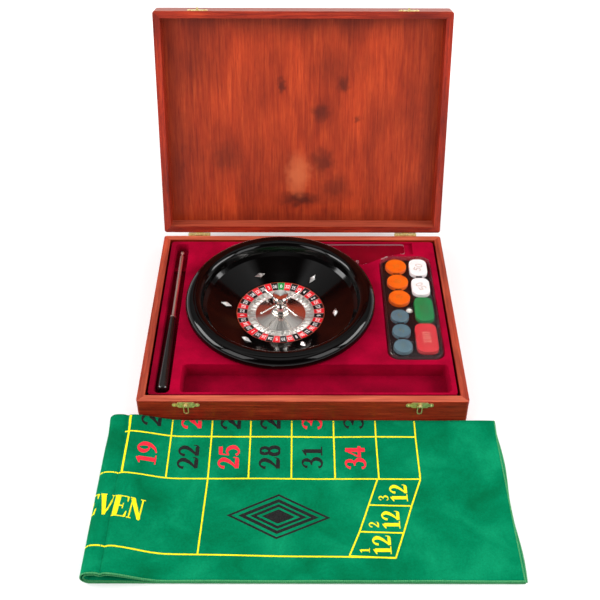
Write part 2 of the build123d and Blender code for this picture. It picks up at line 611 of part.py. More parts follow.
def wheel_bowl():
    """The moulded bowl: rounded rim, ball track, slope and the well for the rotor."""
    foot = WELL_RADIUS + BOWL_SHELL
    wall_top = RIM_TOP - RIM_RISE / 3
    crest = (RIM_RADIUS - RIM_WIDTH / 2 - 1, 0, RIM_TOP)
    shoulder = (RIM_RADIUS, 0, RIM_LOW + 1.6 * RIM_SKIRT)
    inner_bulge = (TRACK_RADIUS + 0.17 * RIM_WIDTH, 0, RIM_TOP - 0.09 * RIM_RISE)
    outer_bulge = (RIM_RADIUS - 0.13 * RIM_WIDTH, 0, RIM_TOP - 0.2 * RIM_RISE)
    inside = Polyline(
        (0, 0, BOWL_TOP_OF_FLOOR),
        (WELL_RADIUS, 0, BOWL_TOP_OF_FLOOR),
        (WELL_RADIUS, 0, SLOPE_LOW),
        (TRACK_RADIUS - TRACK_WIDTH, 0, SLOPE_HIGH),
        (TRACK_RADIUS, 0, SLOPE_HIGH + TRACK_RISE),
        (TRACK_RADIUS + 1, 0, wall_top),
    )
    lip = ThreePointArc(inside @ 1, inner_bulge, crest)
    roll = ThreePointArc(crest, outer_bulge, shoulder)
    outside = Polyline(
        roll @ 1,
        (RIM_RADIUS, 0, RIM_LOW + RIM_SKIRT),
        (RIM_RADIUS - 0.6 * RIM_SKIRT, 0, RIM_LOW),
        (TRACK_RADIUS + BOWL_SHELL, 0, RIM_LOW),
        (TRACK_RADIUS - TRACK_RISE, 0, SLOPE_HIGH - BOWL_SHELL),
        (foot, 0, SLOPE_LOW - BOWL_SHELL),
        (foot, 0, BOWL_LOW),
        (0, 0, BOWL_LOW),
        inside @ 0,
    )
    bowl = revolve(make_face([inside, lip, roll, outside]), Axis.Z)
    return Pos(WHEEL_X, WHEEL_Y, 0) * (bowl - plate(Circle(SPINDLE_RADIUS), BOWL_LOW, BOWL_FLOOR))


def deflectors():
    """Six bright lozenges on the slope, every second one turned along the track."""
    run = TRACK_RADIUS - TRACK_WIDTH - WELL_RADIUS
    lean = degrees(atan2(SLOPE_RISE, run))
    radius = (WELL_RADIUS + TRACK_RADIUS) / 2 - DEFLECTOR_SHIFT
    height = SLOPE_LOW + (radius - WELL_RADIUS) / run * SLOPE_RISE
    # A flat foot across the round slope rests on its two ends, so it sits a little higher.
    sagitta = DEFLECTOR_LENGTH**2 / (8 * radius) * tan(radians(lean))
    long, short = DEFLECTOR_LENGTH / 2, DEFLECTOR_WIDTH / 2
    lozenge = make_face(Polyline((long, 0), (0, short), (-long, 0), (0, -short), close=True))
    stone = extrude(lozenge, DEFLECTOR_HEIGHT, taper=DEFLECTOR_TAPER)
    seat = Pos(radius, 0, height + sagitta + PIN_FIT / 2) * Rot(0, -lean, 0)
    stones = []
    for k in range(DEFLECTORS):
        place = Pos(WHEEL_X, WHEEL_Y, 0) * Rot(0, 0, DEFLECTOR_TURN + k * 360 / DEFLECTORS)
        stones.append(place * seat * Rot(0, 0, 90 * (k % 2)) * stone)
    return stones


def spindle():
    """The steel pin that the rotor turns on, pressed into the bowl's floor."""
    top = DISH_TOP + SPINDLE_RADIUS
    profile = [(0, BOWL_LOW), (SPINDLE_RADIUS, BOWL_LOW), (SPINDLE_RADIUS, top), (0, top + SPINDLE_RADIUS / 2)]
    return turned(profile, WHEEL_X, WHEEL_Y)


def thrust_washer():
    """The washer that the rotor's hub runs on."""
    inner, outer = SPINDLE_RADIUS + PIN_FIT, SPINDLE_RADIUS + 2 * BUSH_WALL
    low, high = BOWL_TOP_OF_FLOOR, BOWL_TOP_OF_FLOOR + WASHER
    return turned([(inner, low), (outer, low), (outer, high), (inner, high)], WHEEL_X, WHEEL_Y)


def rotor_dish():
    """The rotor's casting, stepped for the rings that sit on it."""
    bore = SPINDLE_RADIUS + BUSH_WALL
    profile = [
        (bore, HUB_LOW),
        (bore + HUB_WALL, HUB_LOW),
        (bore + HUB_WALL, DISH_LOW),
        (RING_OUTER, DISH_LOW),
        (RING_OUTER, RING_LOW),
        (RING_INNER, RING_LOW),
        (RING_INNER, DISH_TOP),
        (bore + HUB_WALL / 2, DISH_TOP),
        (bore, DISH_TOP + DISH_SHEET),
    ]
    return turned(profile, WHEEL_X, WHEEL_Y)


def rotor_bush():
    """The bronze bush pressed into the rotor's hub."""
    inner, outer = SPINDLE_RADIUS + SPINDLE_FIT, SPINDLE_RADIUS + BUSH_WALL
    low, high = HUB_LOW, DISH_TOP + DISH_SHEET
    return turned([(inner, low), (outer, low), (outer, high), (inner, high)], WHEEL_X, WHEEL_Y)


def rim_band():
    """The bright band round the rotor's edge."""
    low, high = DISH_LOW, RING_TOP + BAND_PROUD
    profile = [(RING_OUTER, low), (ROTOR_RADIUS, low), (ROTOR_RADIUS, high), (RING_OUTER, high)]
    return turned(profile, WHEEL_X, WHEEL_Y)


def number_ring():
    """The flat ring for the numbers, falling slightly towards the pockets."""
    inner, outer = RING_INNER, RING_OUTER
    profile = [(inner, RING_LOW), (outer, RING_LOW), (outer, RING_TOP), (inner, POCKET_TOP)]
    return turned(profile, WHEEL_X, WHEEL_Y)


def pocket_ring():
    """The ring of ball pockets: a channel with one fret between each pair of numbers."""
    inner, outer, wall = POCKET_INNER, POCKET_OUTER, POCKET_SHEET
    profile = [
        (inner, DISH_TOP),
        (outer, DISH_TOP),
        (outer, POCKET_TOP),
        (outer - wall, POCKET_TOP),
        (outer - wall, POCKET_FLOOR),
        (inner + wall, POCKET_FLOOR),
        (inner + wall, CONE_LOW),
        (inner, CONE_LOW),
    ]
    start, end, root = inner + wall / 2, outer - wall / 2, POCKET_FLOOR - wall / 2
    side = Polyline((start, 0, root), (end, 0, root), (end, 0, POCKET_TOP), (start, 0, CONE_LOW), close=True)
    fret = extrude(make_face(side), FRET / 2, both=True)
    pitch = 360 / POCKETS
    frets = [Rot(0, 0, 90 + (k + 0.5) * pitch) * fret for k in range(POCKETS)]
    return Pos(WHEEL_X, WHEEL_Y, 0) * turned(profile).fuse(*frets)


def rotor_cone():
    """The chromed cone that throws the ball out to the pockets, a thin spun cap."""
    edge, sheet = POCKET_INNER - PIN_FIT, CONE_SHEET
    profile = [
        (edge, DISH_TOP),
        (edge, CONE_LOW),
        (CONE_CROWN_RADIUS, CONE_TOP),
        (0, CONE_TOP),
        (0, CONE_TOP - sheet),
        (CONE_CROWN_RADIUS, CONE_TOP - sheet),
        (edge - sheet, CONE_LOW - sheet),
        (edge - sheet, DISH_TOP),
    ]
    return turned(profile, WHEEL_X, WHEEL_Y)


FOOT_BEADS = [          # (radius, rise) of the turned foot of the turret, above the cone
    (13.0, 0.0), (13.3, 1.6), (11.2, 2.4), (11.8, 5.2), (8.2, 6.4), (7.4, 9.4), (9.4, 11.0), (9.4, 12.4),
]
HUB_LOW_Z = CONE_TOP + FOOT_BEADS[-1][1]
NECK_LOW = HUB_LOW_Z + HUB_HEIGHT
CROWN_LOW = NECK_LOW + NECK_HEIGHT


def turret_foot():
    """The stepped foot of the turret."""
    profile = [(0, CONE_TOP)] + [(r, CONE_TOP + z) for r, z in FOOT_BEADS] + [(0, HUB_LOW_Z)]
    return turned(profile, WHEEL_X, WHEEL_Y)


def turret_arms():
    """The hub with the four arms that the rotor is spun by, each with a small ball end."""
    middle = HUB_LOW_Z + HUB_HEIGHT / 2
    arms = plate(Circle(HUB_RADIUS), HUB_LOW_Z, HUB_HEIGHT)
    rod = extrude(Plane((0, 0, middle), z_dir=(1, 0, 0)) * Circle(ARM_RADIUS), ARM_REACH - ARM_TIP_RADIUS)
    tip = Pos(ARM_REACH - ARM_TIP_RADIUS, 0, middle) * Sphere(ARM_TIP_RADIUS)
    for k in range(ARMS):
        arms += Rot(0, 0, ARM_TURN + k * 360 / ARMS) * (rod + tip)
    return Pos(WHEEL_X, WHEEL_Y, 0) * arms


def turret_neck():
    """The turned neck between the arms and the crown."""
    top = NECK_TOP_RADIUS
    profile = [
        (0, NECK_LOW),
        (1.5 * top, NECK_LOW),
        (1.73 * top, NECK_LOW + 0.24 * NECK_HEIGHT),
        (1.67 * top, NECK_LOW + 0.45 * NECK_HEIGHT),
        (1.1 * top, NECK_LOW + 0.6 * NECK_HEIGHT),
        (top, CROWN_LOW),
        (0, CROWN_LOW),
    ]
    return turned(profile, WHEEL_X, WHEEL_Y)


def turret_crown():
    """The scalloped, dished crown on top."""
    profile = [
        (0, CROWN_LOW),
        (NECK_TOP_RADIUS, CROWN_LOW),
        (CROWN_RADIUS, CROWN_LOW + 0.6 * CROWN_HEIGHT),
        (0.86 * CROWN_RADIUS, CROWN_LOW + CROWN_HEIGHT),
        (0.64 * CROWN_RADIUS, CROWN_LOW + 0.8 * CROWN_HEIGHT),
        (0, CROWN_LOW + 0.5 * CROWN_HEIGHT),
    ]
    notch = plate(Pos(CROWN_RADIUS + CROWN_NOTCH / 2, 0) * Circle(CROWN_NOTCH), CROWN_LOW, CROWN_HEIGHT)
    crown = turned(profile)
    for k in range(CROWN_LOBES):
        crown -= Rot(0, 0, k * 360 / CROWN_LOBES) * notch
    return Pos(WHEEL_X, WHEEL_Y, 0) * crown


# ---- rake --------------------------------------------------------------------------------

def along_rake(profile, start):
    """Turn an outline of (radius, distance) points about the rake's centre line."""
    return Pos(RAKE_X, start, RAKE_Z) * Rot(-90, 0, 0) * turned(profile)


def rake_handle():
    """The black tapered grip with a rounded butt."""
    butt, neck, end = HANDLE_BUTT_RADIUS, HANDLE_NECK_RADIUS, HANDLE_LENGTH
    profile = [(0, 0), (butt, 0), (butt, 2 * butt), (neck, end - neck / 2), (neck - PIN_HEAD, end), (0, end)]
    grip = along_rake(profile, RAKE_BUTT_Y)
    return fillet(grip.faces().sort_by(Axis.Y)[0].edges(), BUTT_ROUND)


def rake_ferrule():
    """The chromed ferrule between grip and rod."""
    big, small, end = HANDLE_NECK_RADIUS - PIN_HEAD / 2, ROD_RADIUS + PIN_HEAD / 2, FERRULE_LENGTH
    return along_rake([(0, 0), (big, 0), (big, end / 2), (small, end), (0, end)], FERRULE_Y)


def rake_rod():
    """The straight chromed rod, its end just broken."""
    end, broken = ROD_LENGTH - FERRULE_LENGTH, PIN_HEAD / 2
    profile = [(0, 0), (ROD_RADIUS, 0), (ROD_RADIUS, end - broken), (ROD_RADIUS - broken, end), (0, end)]
    return along_rake(profile, ROD_Y)


def rake_tip():
    """The neck and button that snap into the blade's hole."""
    start, button = NECK_LENGTH, NECK_LENGTH + TIP_LENGTH
    profile = [
        (0, 0),
        (NECK_RADIUS, 0),
        (NECK_RADIUS, start),
        (TIP_RADIUS, start + 0.2 * TIP_LENGTH),
        (TIP_RADIUS, button - 0.3 * TIP_LENGTH),
        (TIP_RADIUS / 2, button),
        (0, button),
    ]
    return along_rake(profile, NECK_Y)


def rake_blade():
    """The clear acrylic blade, its upper edge bevelled, with its socket hole near the curved side."""
    blade = plate(blade_outline(), BLADE_LOW, BLADE_SHEET)
    blade = chamfer(blade.faces().sort_by(Axis.Z)[-1].edges(), BLADE_BEVEL)
    hole = Pos(BLADE_X, BLADE_BACK_Y - BLADE_DEPTH + BLADE_HOLE_LAND) * Circle(BLADE_HOLE)
    return blade - plate(hole, BLADE_LOW, BLADE_SHEET)


# ---- chips -------------------------------------------------------------------------------

def from_left(width):
    """X of the middle of a stack that stands against the box's left margin."""
    return CHIP_BOX_X - CHIP_BOX_WIDTH / 2 + WELL_MARGIN_LEFT + width / 2


def from_right(width):
    """X of the middle of a stack that stands against the box's right margin."""
    return CHIP_BOX_X + CHIP_BOX_WIDTH / 2 - WELL_MARGIN_RIGHT - width / 2


def down_column(start, length, gap, count):
    """Y of the middle of each stack in a column that runs from a line towards the user."""
    return [start - length / 2 - k * (length + gap) for k in range(count)]


WELLS_BACK = CHIP_BOX_Y + CHIP_BOX_LENGTH / 2 - WELL_MARGIN_BACK
BLUE_BACK = WELLS_BACK - ORANGE_COLUMN - GROUP_GAP
GREEN_BACK = WELLS_BACK - 2 * (WHITE_LENGTH + PLAQUE_GAP)
RED_BACK = GREEN_BACK - GREEN_LENGTH - PLAQUE_GAP
ROUND_STACKS = {        # colour: radius, X and the Y of each stack
    "orange": (ORANGE_RADIUS, from_left(2 * ORANGE_RADIUS),
               down_column(WELLS_BACK, 2 * ORANGE_RADIUS, ORANGE_GAP, ROUND_COUNT)),
    "blue": (BLUE_RADIUS, from_left(2 * BLUE_RADIUS),
             down_column(BLUE_BACK, 2 * BLUE_RADIUS, BLUE_GAP, ROUND_COUNT)),
}
PLAQUE_STACKS = {       # colour: width, length, X and the Y of each stack
    "white": (WHITE_WIDTH, WHITE_LENGTH, from_right(WHITE_WIDTH),
              down_column(WELLS_BACK, WHITE_LENGTH, PLAQUE_GAP, 2)),
    "green": (GREEN_WIDTH, GREEN_LENGTH, from_right(GREEN_WIDTH),
              down_column(GREEN_BACK, GREEN_LENGTH, PLAQUE_GAP, 1)),
    "red": (RED_WIDTH, RED_LENGTH, from_right(RED_WIDTH),
            down_column(RED_BACK, RED_LENGTH, PLAQUE_GAP, 1)),
}
BALL_X = from_right(GREEN_WIDTH) - GREEN_WIDTH / 2 - CHIP_FIT - BALL_LAND - CHIP_FIT - BALL_RADIUS
BALL_Y = BLUE_BACK + GROUP_GAP / 2 - BALL_SHIFT


def box_outline(shrink=0.0):
    """The chip box's outline, drawn in all round."""
    width, length = CHIP_BOX_WIDTH - 2 * shrink, CHIP_BOX_LENGTH - 2 * shrink
    return Pos(CHIP_BOX_X, CHIP_BOX_Y) * RectangleRounded(width, length, CHIP_BOX_ROUND - shrink)


def chip_box():
    """The clear moulded box, open at the top."""
    height = INSERT_TOP - BOX_LIP - CHIP_BOX_LOW
    outside = COVER_SHEET + RUN_GAP
    shell = plate(box_outline(outside), CHIP_BOX_LOW, height)
    return shell - plate(box_outline(outside + CHIP_BOX_SHEET), CHIP_BOX_LOW + CHIP_BOX_SHEET, height)


def chip_box_lid():
    """The clear cover, a shallow moulding that drops over the box."""
    cover = plate(box_outline(), COVER_TOP - COVER_SKIRT, COVER_SKIRT)
    cover = fillet(cover.faces().sort_by(Axis.Z)[-1].edges(), COVER_ROUND)
    return cover - plate(box_outline(COVER_SHEET), COVER_TOP - COVER_SKIRT, COVER_SKIRT - COVER_SHEET)


def wells():
    """The outline of every well, a little larger than what it holds."""
    shape = Sketch()
    for radius, x, places in ROUND_STACKS.values():
        for y in places:
            shape += Pos(x, y) * Circle(radius + CHIP_FIT)
    for width, length, x, places in PLAQUE_STACKS.values():
        well = RectangleRounded(width + 2 * CHIP_FIT, length + 2 * CHIP_FIT, PLAQUE_ROUND + CHIP_FIT)
        for y in places:
            shape += Pos(x, y) * well
    return shape


def chip_insert():
    """The dark insert with one well for each stack and a small one for the ball."""
    low = CHIP_BOX_LOW + CHIP_BOX_SHEET
    outline = box_outline(COVER_SHEET + RUN_GAP + CHIP_BOX_SHEET + INSERT_FIT)
    insert = plate(outline, low, INSERT_TOP - low)
    for x, places in [row[1:] for row in ROUND_STACKS.values()] + [row[2:] for row in PLAQUE_STACKS.values()]:
        for back, front in zip(places, places[1:]):
            post = Pos(x, (back + front) / 2) * Rectangle(POST_WIDTH, back - front)
            insert += plate(post, INSERT_TOP, POST_RISE)
    insert -= plate(wells(), WELL_FLOOR, INSERT_TOP)
    ball_well = Pos(BALL_X, BALL_Y) * Circle(BALL_RADIUS + CHIP_FIT)
    return insert - plate(ball_well, BALL_Z - BALL_RADIUS - RUN_GAP, INSERT_TOP)


def stacked(outline, x, places):
    """Loose chips of one outline, piled in every well of their colour."""
    chip = extrude(outline, CHIP)
    rims = chip.edges().group_by(Axis.Z)
    chip = chamfer(rims[0] + rims[-1], CHIP_ROUND)
    low = WELL_FLOOR + RUN_GAP
    return [Pos(x, y, low + k * CHIP) * chip for y in places for k in range(CHIP_COUNT)]


def roulette_ball():
    """The ball, resting in its own small well."""
    return Pos(BALL_X, BALL_Y, BALL_Z) * Sphere(BALL_RADIUS)


# ---- layout cloth ------------------------------------------------------------------------

def loose_fold(length, height, run, thickness):
    """Section of a sheet folded back on itself: an open roll that closes up to a flat stack."""
    radius = height / 2
    hollow = radius - thickness
    crease = run - CLOTH_CREASE
    outer = Polyline((radius, height), (run, 2 * thickness), (length, 2 * thickness), (length, 0), (radius, 0))
    nose = ThreePointArc(outer @ 1, (0, radius), outer @ 0)
    inner = Polyline((radius, height - thickness), (crease, thickness), (radius, thickness))
    inner_nose = ThreePointArc(inner @ 1, (radius - hollow, radius), inner @ 0)
    return make_face([outer, nose]) - make_face([inner, inner_nose])


def layout_cloth():
    """The felt layout folded in four: a loose roll at the left and a lower one along the case."""
    left, right = -CLOTH_WIDTH / 2, CLOTH_WIDTH / 2
    back = FRONT - SEAT_GAP
    doubled = 2 * CLOTH_PLY
    side_plane = Plane((left, back - CLOTH_DEPTH, 0), x_dir=(1, 0, 0), z_dir=(0, -1, 0))
    body = extrude(side_plane * loose_fold(CLOTH_WIDTH, CLOTH_ROLL, CLOTH_ROLL_RUN, doubled), -CLOTH_DEPTH)
    ridge_plane = Plane((right, back, 0), x_dir=(0, -1, 0), z_dir=(-1, 0, 0))
    ridge = loose_fold(CLOTH_BACK_REACH, CLOTH_BACK_ROLL, CLOTH_BACK_RUN, doubled)
    return body + extrude(ridge_plane * ridge, CLOTH_WIDTH - CLOTH_ROLL_RUN / 2)


# ---- assembly ----------------------------------------------------------------------------

CATCH_Z = BASE_HEIGHT - CATCH_DROP
KEEPER_Z = LID_RIM + KEEPER_RISE
SIDES = {"left": -1, "right": 1}


def drilled_rings():
    """The rings of boards, drilled for the screws and nails."""
    base, lid = board_ring(0, BASE_HEIGHT, False), board_ring(LID_RIM, LID_HEIGHT, True)
    for hand in SIDES.values():
        for screw_x in hinge_screw_places(hand * HINGE_SPREAD):
            base -= screw(screw_x, True)
            lid -= screw(screw_x, False)
        for place in nail_places(CATCH_WIDTH):
            base -= nail(hand * CATCH_SPREAD + place, CATCH_Z)
        for place in nail_places(KEEPER_WIDTH):
            lid -= nail(hand * CATCH_SPREAD + place, KEEPER_Z)
    return base, lid


def save_case():
    """The boards and panels of base and lid."""
    base_ring, lid_ring = drilled_rings()
    for side in ("front", "back", "left", "right"):
        save(f"base_{side}_board", board_of(base_ring, side, 0, BASE_HEIGHT))
        save(f"lid_{side}_board", opened(board_of(lid_ring, side, LID_RIM, LID_HEIGHT)))
    save("base_bottom_panel", panel(0))
    save("lid_panel", opened(panel(LID_TOP - PANEL)))


def save_fittings():
    """The hinges and catches, with their screws and nails."""
    base_screws, lid_screws, base_nails, lid_nails = [], [], [], []
    for name, hand in SIDES.items():
        x = hand * HINGE_SPREAD
        save(f"hinge_{name}_base_leaf", hinge_leaf(x, True))
        save(f"hinge_{name}_lid_leaf", opened(hinge_leaf(x, False)))
        save(f"hinge_{name}_pin", hinge_pin(x))
        base_screws += [screw(at, True) for at in hinge_screw_places(x)]
        lid_screws += [opened(screw(at, False)) for at in hinge_screw_places(x)]
        x = hand * CATCH_SPREAD
        save(f"catch_{name}_plate", catch_plate(x, CATCH_Z))
        save(f"catch_{name}_loop", catch_loop(x, CATCH_Z))
        save(f"catch_{name}_keeper", opened(keeper(x, KEEPER_Z)))
        base_nails += [nail(x + place, CATCH_Z) for place in nail_places(CATCH_WIDTH)]
        lid_nails += [opened(nail(x + place, KEEPER_Z)) for place in nail_places(KEEPER_WIDTH)]
    save("hinge_screws_base", *base_screws)
    save("hinge_screws_lid", *lid_screws)
    save("catch_nails_base", *base_nails)
    save("catch_nails_lid", *lid_nails)


def save_wheel():
    """The bowl with what is fixed in it, and the rotor."""
    save("wheel_bowl", wheel_bowl())
    save("ball_deflectors", *deflectors())
    save("wheel_spindle", spindle())
    save("thrust_washer", thrust_washer())
    save("rotor_dish", rotor_dish())
    save("rotor_bush", rotor_bush())
    save("rotor_rim_band", rim_band())
    save("number_ring", number_ring())
    save("pocket_ring", pocket_ring())
    save("rotor_cone", rotor_cone())
    save("turret_foot", turret_foot())
    save("turret_arms", turret_arms())
    save("turret_neck", turret_neck())
    save("turret_crown", turret_crown())


def save_rake():
    """The rake's stick and its blade, put away apart."""
    save("rake_handle", rake_handle())
    save("rake_ferrule", rake_ferrule())
    save("rake_rod", rake_rod())
    save("rake_tip", rake_tip())
    save("rake_blade", rake_blade())


def save_chips():
    """The clear box with everything in it."""
    save("chip_box", chip_box())
    save("chip_box_lid", chip_box_lid())
    save("chip_insert", chip_insert())
    for colour, (radius, x, places) in ROUND_STACKS.items():
        save(f"chips_{colour}", *stacked(Circle(radius), x, places))
    for colour, (width, length, x, places) in PLAQUE_STACKS.items():
        save(f"plaques_{colour}", *stacked(RectangleRounded(width, length, PLAQUE_ROUND), x, places))
    save("roulette_ball", roulette_ball())


save_case()
save_fittings()
save("tray_insert", tray_insert())
save_wheel()
save_rake()
save_chips()
save("layout_cloth", layout_cloth())

SHUT_ROOM = LID_TOP - PANEL - CROWN_LOW - CROWN_HEIGHT
print("shut lid clears the crown by", round(SHUT_ROOM, 1))
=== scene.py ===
# A roulette set in its hinged wooden case, standing open with the felt layout folded in front of it.
from math import ceil, cos, exp, hypot, pi, radians, sin

import bpy
from mathutils import Matrix, Vector


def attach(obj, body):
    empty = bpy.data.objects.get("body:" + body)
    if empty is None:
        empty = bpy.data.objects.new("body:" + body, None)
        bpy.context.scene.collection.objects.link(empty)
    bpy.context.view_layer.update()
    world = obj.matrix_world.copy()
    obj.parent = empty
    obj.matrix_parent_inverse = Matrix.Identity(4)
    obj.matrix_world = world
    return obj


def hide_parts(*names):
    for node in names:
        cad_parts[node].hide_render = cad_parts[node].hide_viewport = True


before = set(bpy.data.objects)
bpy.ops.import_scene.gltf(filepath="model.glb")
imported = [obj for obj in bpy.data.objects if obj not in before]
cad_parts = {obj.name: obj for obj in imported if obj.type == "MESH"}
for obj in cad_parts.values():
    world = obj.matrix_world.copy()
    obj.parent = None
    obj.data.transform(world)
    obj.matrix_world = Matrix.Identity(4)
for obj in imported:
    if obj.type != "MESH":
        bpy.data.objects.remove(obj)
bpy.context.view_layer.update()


# ---- camera ----------------------------------------------------------------------------------
# A catalogue view from in front and above, with the lens a little raised on its mount so that the
# lid and the folded cloth both come into the square picture.
camera = bpy.data.objects.new("camera", bpy.data.cameras.new("camera"))
bpy.context.scene.collection.objects.link(camera)
bpy.context.scene.camera = camera
camera.data.lens, camera.data.sensor_width = 57.08, 36.0
camera.data.shift_y = -0.0833
CAMERA_PLACE = (-0.0061, -0.9646, 0.9519)
PAN, TILT, ROLL = radians(-0.13), radians(50.35), radians(0.20)
camera.matrix_world = (
    Matrix.Translation(CAMERA_PLACE)
    @ Matrix.Rotation(PAN, 4, "Z") @ Matrix.Rotation(TILT, 4, "X") @ Matrix.Rotation(ROLL, 4, "Z")
)


# ---- studio ----------------------------------------------------------------------------------
# White paper sweep, lit by two large softboxes at the front corners and two at the sides. The room
# is dark behind the camera, and pale beyond the lid with a dark zenith, for the bowl and the chrome.
def linear(code):
    """A colour written as sRGB hex, as the linear numbers that the shaders take."""
    parts = [int(code[k:k + 2], 16) / 255 for k in (1, 3, 5)]
    return (*[c / 12.92 if c <= 0.04045 else ((c + 0.055) / 1.055) ** 2.4 for c in parts], 1.0)


def add(tree, kind, *sockets, stops=(), **settings):
    """Add a shader node. Capitalised settings are sockets, the rest its own; a node given as a value is linked.
    A ramp's stops are its first and last, then those between."""
    made = tree.nodes.new("ShaderNode" + kind)
    for name in [n for n in settings if n[0].islower()]:
        setattr(made, name, settings.pop(name))
    given = list(zip(made.inputs, sockets))
    given += [(made.inputs[name.replace("_", " ")], value) for name, value in settings.items()]
    for socket, value in given:
        value = value.outputs[0] if isinstance(value, bpy.types.Node) else value
        if isinstance(value, bpy.types.NodeSocket):
            tree.links.new(value, socket)
        elif value is not None:
            socket.default_value = linear(value) if isinstance(value, str) else value
    for k, (place, colour) in enumerate(stops):
        stop = made.color_ramp.elements[k] if k < 2 else made.color_ramp.elements.new(place)
        stop.position, stop.color = place, linear(colour)
    return made


def softbox(name, place, aim, width, height, watts):
    """A large rectangular lamp that looks at a point."""
    lamp = bpy.data.objects.new(name, bpy.data.lights.new(name, "AREA"))
    lamp.data.shape, lamp.data.size, lamp.data.size_y = "RECTANGLE", width, height
    lamp.data.energy = watts
    lamp.matrix_world = Matrix.Translation(place) @ (
        Vector(aim) - Vector(place)
    ).to_track_quat("-Z", "Y").to_matrix().to_4x4()
    bpy.context.scene.collection.objects.link(lamp)


softbox("softbox_left", (-1.25, -1.0, 1.15), (0, -0.05, 0.05), 0.9, 1.1, 11.5)
softbox("softbox_right", (1.25, -1.0, 1.15), (0, -0.05, 0.05), 0.9, 1.1, 11.5)
softbox("softbox_side_left", (-1.5, 0.05, 0.98), (0, 0, 0.05), 1.05, 0.62, 20)
softbox("softbox_side_right", (1.5, 0.05, 0.98), (0, 0, 0.05), 1.05, 0.62, 20)

bpy.context.scene.view_settings.view_transform = "Standard"
world = bpy.data.worlds.new("studio")
bpy.context.scene.world = world
world.use_nodes = True
studio = world.node_tree
studio.nodes.clear()
ray = add(studio, "LightPath").outputs
direction = add(studio, "TexCoord").outputs["Generated"]
part = add(studio, "SeparateXYZ", direction).outputs
behind = add(
    studio, "ValToRGB", part["Z"],
    stops=[
        (0.0, "#FFFFFF"), (0.968, "#0C0C0C"), (0.2, "#E8E8E8"), (0.42, "#707070"), (0.80, "#A0A0A0"),
        (0.90, "#C4C4C4"), (0.94, "#E4E4E4"),
    ],
)
ahead = add(
    studio, "ValToRGB", part["Z"],
    stops=[
        (0.0, "#FFFFFF"), (0.6, "#141414"), (0.10, "#C8C8C8"), (0.28, "#3A3A3A"), (0.86, "#282828"),
        (0.95, "#E0E0E0"),
    ],
)
ceiling = add(studio, "MixRGB", add(studio, "MapRange", part["Y"], 0.0, 0.1), ahead, behind)
fill = add(studio, "MixRGB", ray["Is Glossy Ray"], "#B4B4B4", ceiling)
seen = add(studio, "Math", ray["Is Camera Ray"], ray["Is Transmission Ray"], operation="MAXIMUM")
shown = add(studio, "MixRGB", seen, fill, "#FFFFFF")
add(studio, "OutputWorld", add(studio, "Background", shown, 1.0))

bpy.ops.mesh.primitive_plane_add(size=12, location=(0, 2.0, 0))
floor = bpy.context.object
floor.name = "floor"
paper = bpy.data.materials.new("matt_white_paper")
paper.use_nodes = True
tree = paper.node_tree
tree.nodes.clear()
ray = add(tree, "LightPath").outputs
seen = add(tree, "Math", ray["Is Camera Ray"], ray["Is Glossy Ray"], operation="MAXIMUM")
seen = add(tree, "Math", seen, ray["Is Transmission Ray"], operation="MAXIMUM")
lit = add(tree, "BsdfDiffuse", "#F0F0F0")
place = add(tree, "NewGeometry").outputs["Position"]
reach = add(tree, "VectorMath", place, operation="LENGTH").outputs["Value"]
sweep = add(tree, "MapRange", reach, 0.55, 2.0, 0.13, 1.0)
glow = add(tree, "Emission", "#FFFFFF", add(tree, "Math", seen, sweep, operation="MULTIPLY"))
add(tree, "OutputMaterial", add(tree, "AddShader", lit, glow))
floor.data.materials.append(paper)


# ---- case boards -----------------------------------------------------------------------------
# Solid alder, mitred at the corners and stained mahogany red, then given one coat of satin
# lacquer. The grain runs along each board, and faces that look up are painted pale: a painted highlight, with
# some stain worn thin on the rims.
def finish_of(name, **surface):
    """A new material: the material, its node tree and its surface shader with these socket values."""
    made = bpy.data.materials.new(name)
    made.use_nodes = True
    shader = made.node_tree.nodes["Principled BSDF"]
    for socket, value in surface.items():
        shader.inputs[socket.replace("_", " ")].default_value = linear(value) if isinstance(value, str) else value
    return made, made.node_tree, shader


def feed(taker, socket, node):
    """Link a node's first output to a named socket of another node."""
    taker.id_data.links.new(node.outputs[0], taker.inputs[socket])


def coat(finish, *nodes):
    """Give CAD pieces a finish."""
    for node in nodes:
        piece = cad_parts[node]
        if not piece.material_slots:
            piece.data.materials.append(finish)
        for slot in piece.material_slots:
            slot.material = finish


def per_metre(mm):
    """How often a pattern of this size in millimetres repeats in a metre."""
    return 1000.0 / mm


LID_LEAN = radians(106.3)       # from shut to where the stop hinges hold it


def grain_space(tree, along, lid, length, width):
    """Coordinates that run slowly along a board's grain and fast across it, the lid's turned back to shut."""
    place = add(tree, "TexCoord").outputs["Object"]
    turned = add(tree, "Mapping", place, Rotation=(LID_LEAN if lid else 0, 0, 0))
    stretch = [per_metre(width)] * 3
    stretch["XYZ".index(along)] = per_metre(length)
    return add(tree, "Mapping", turned, Scale=stretch)


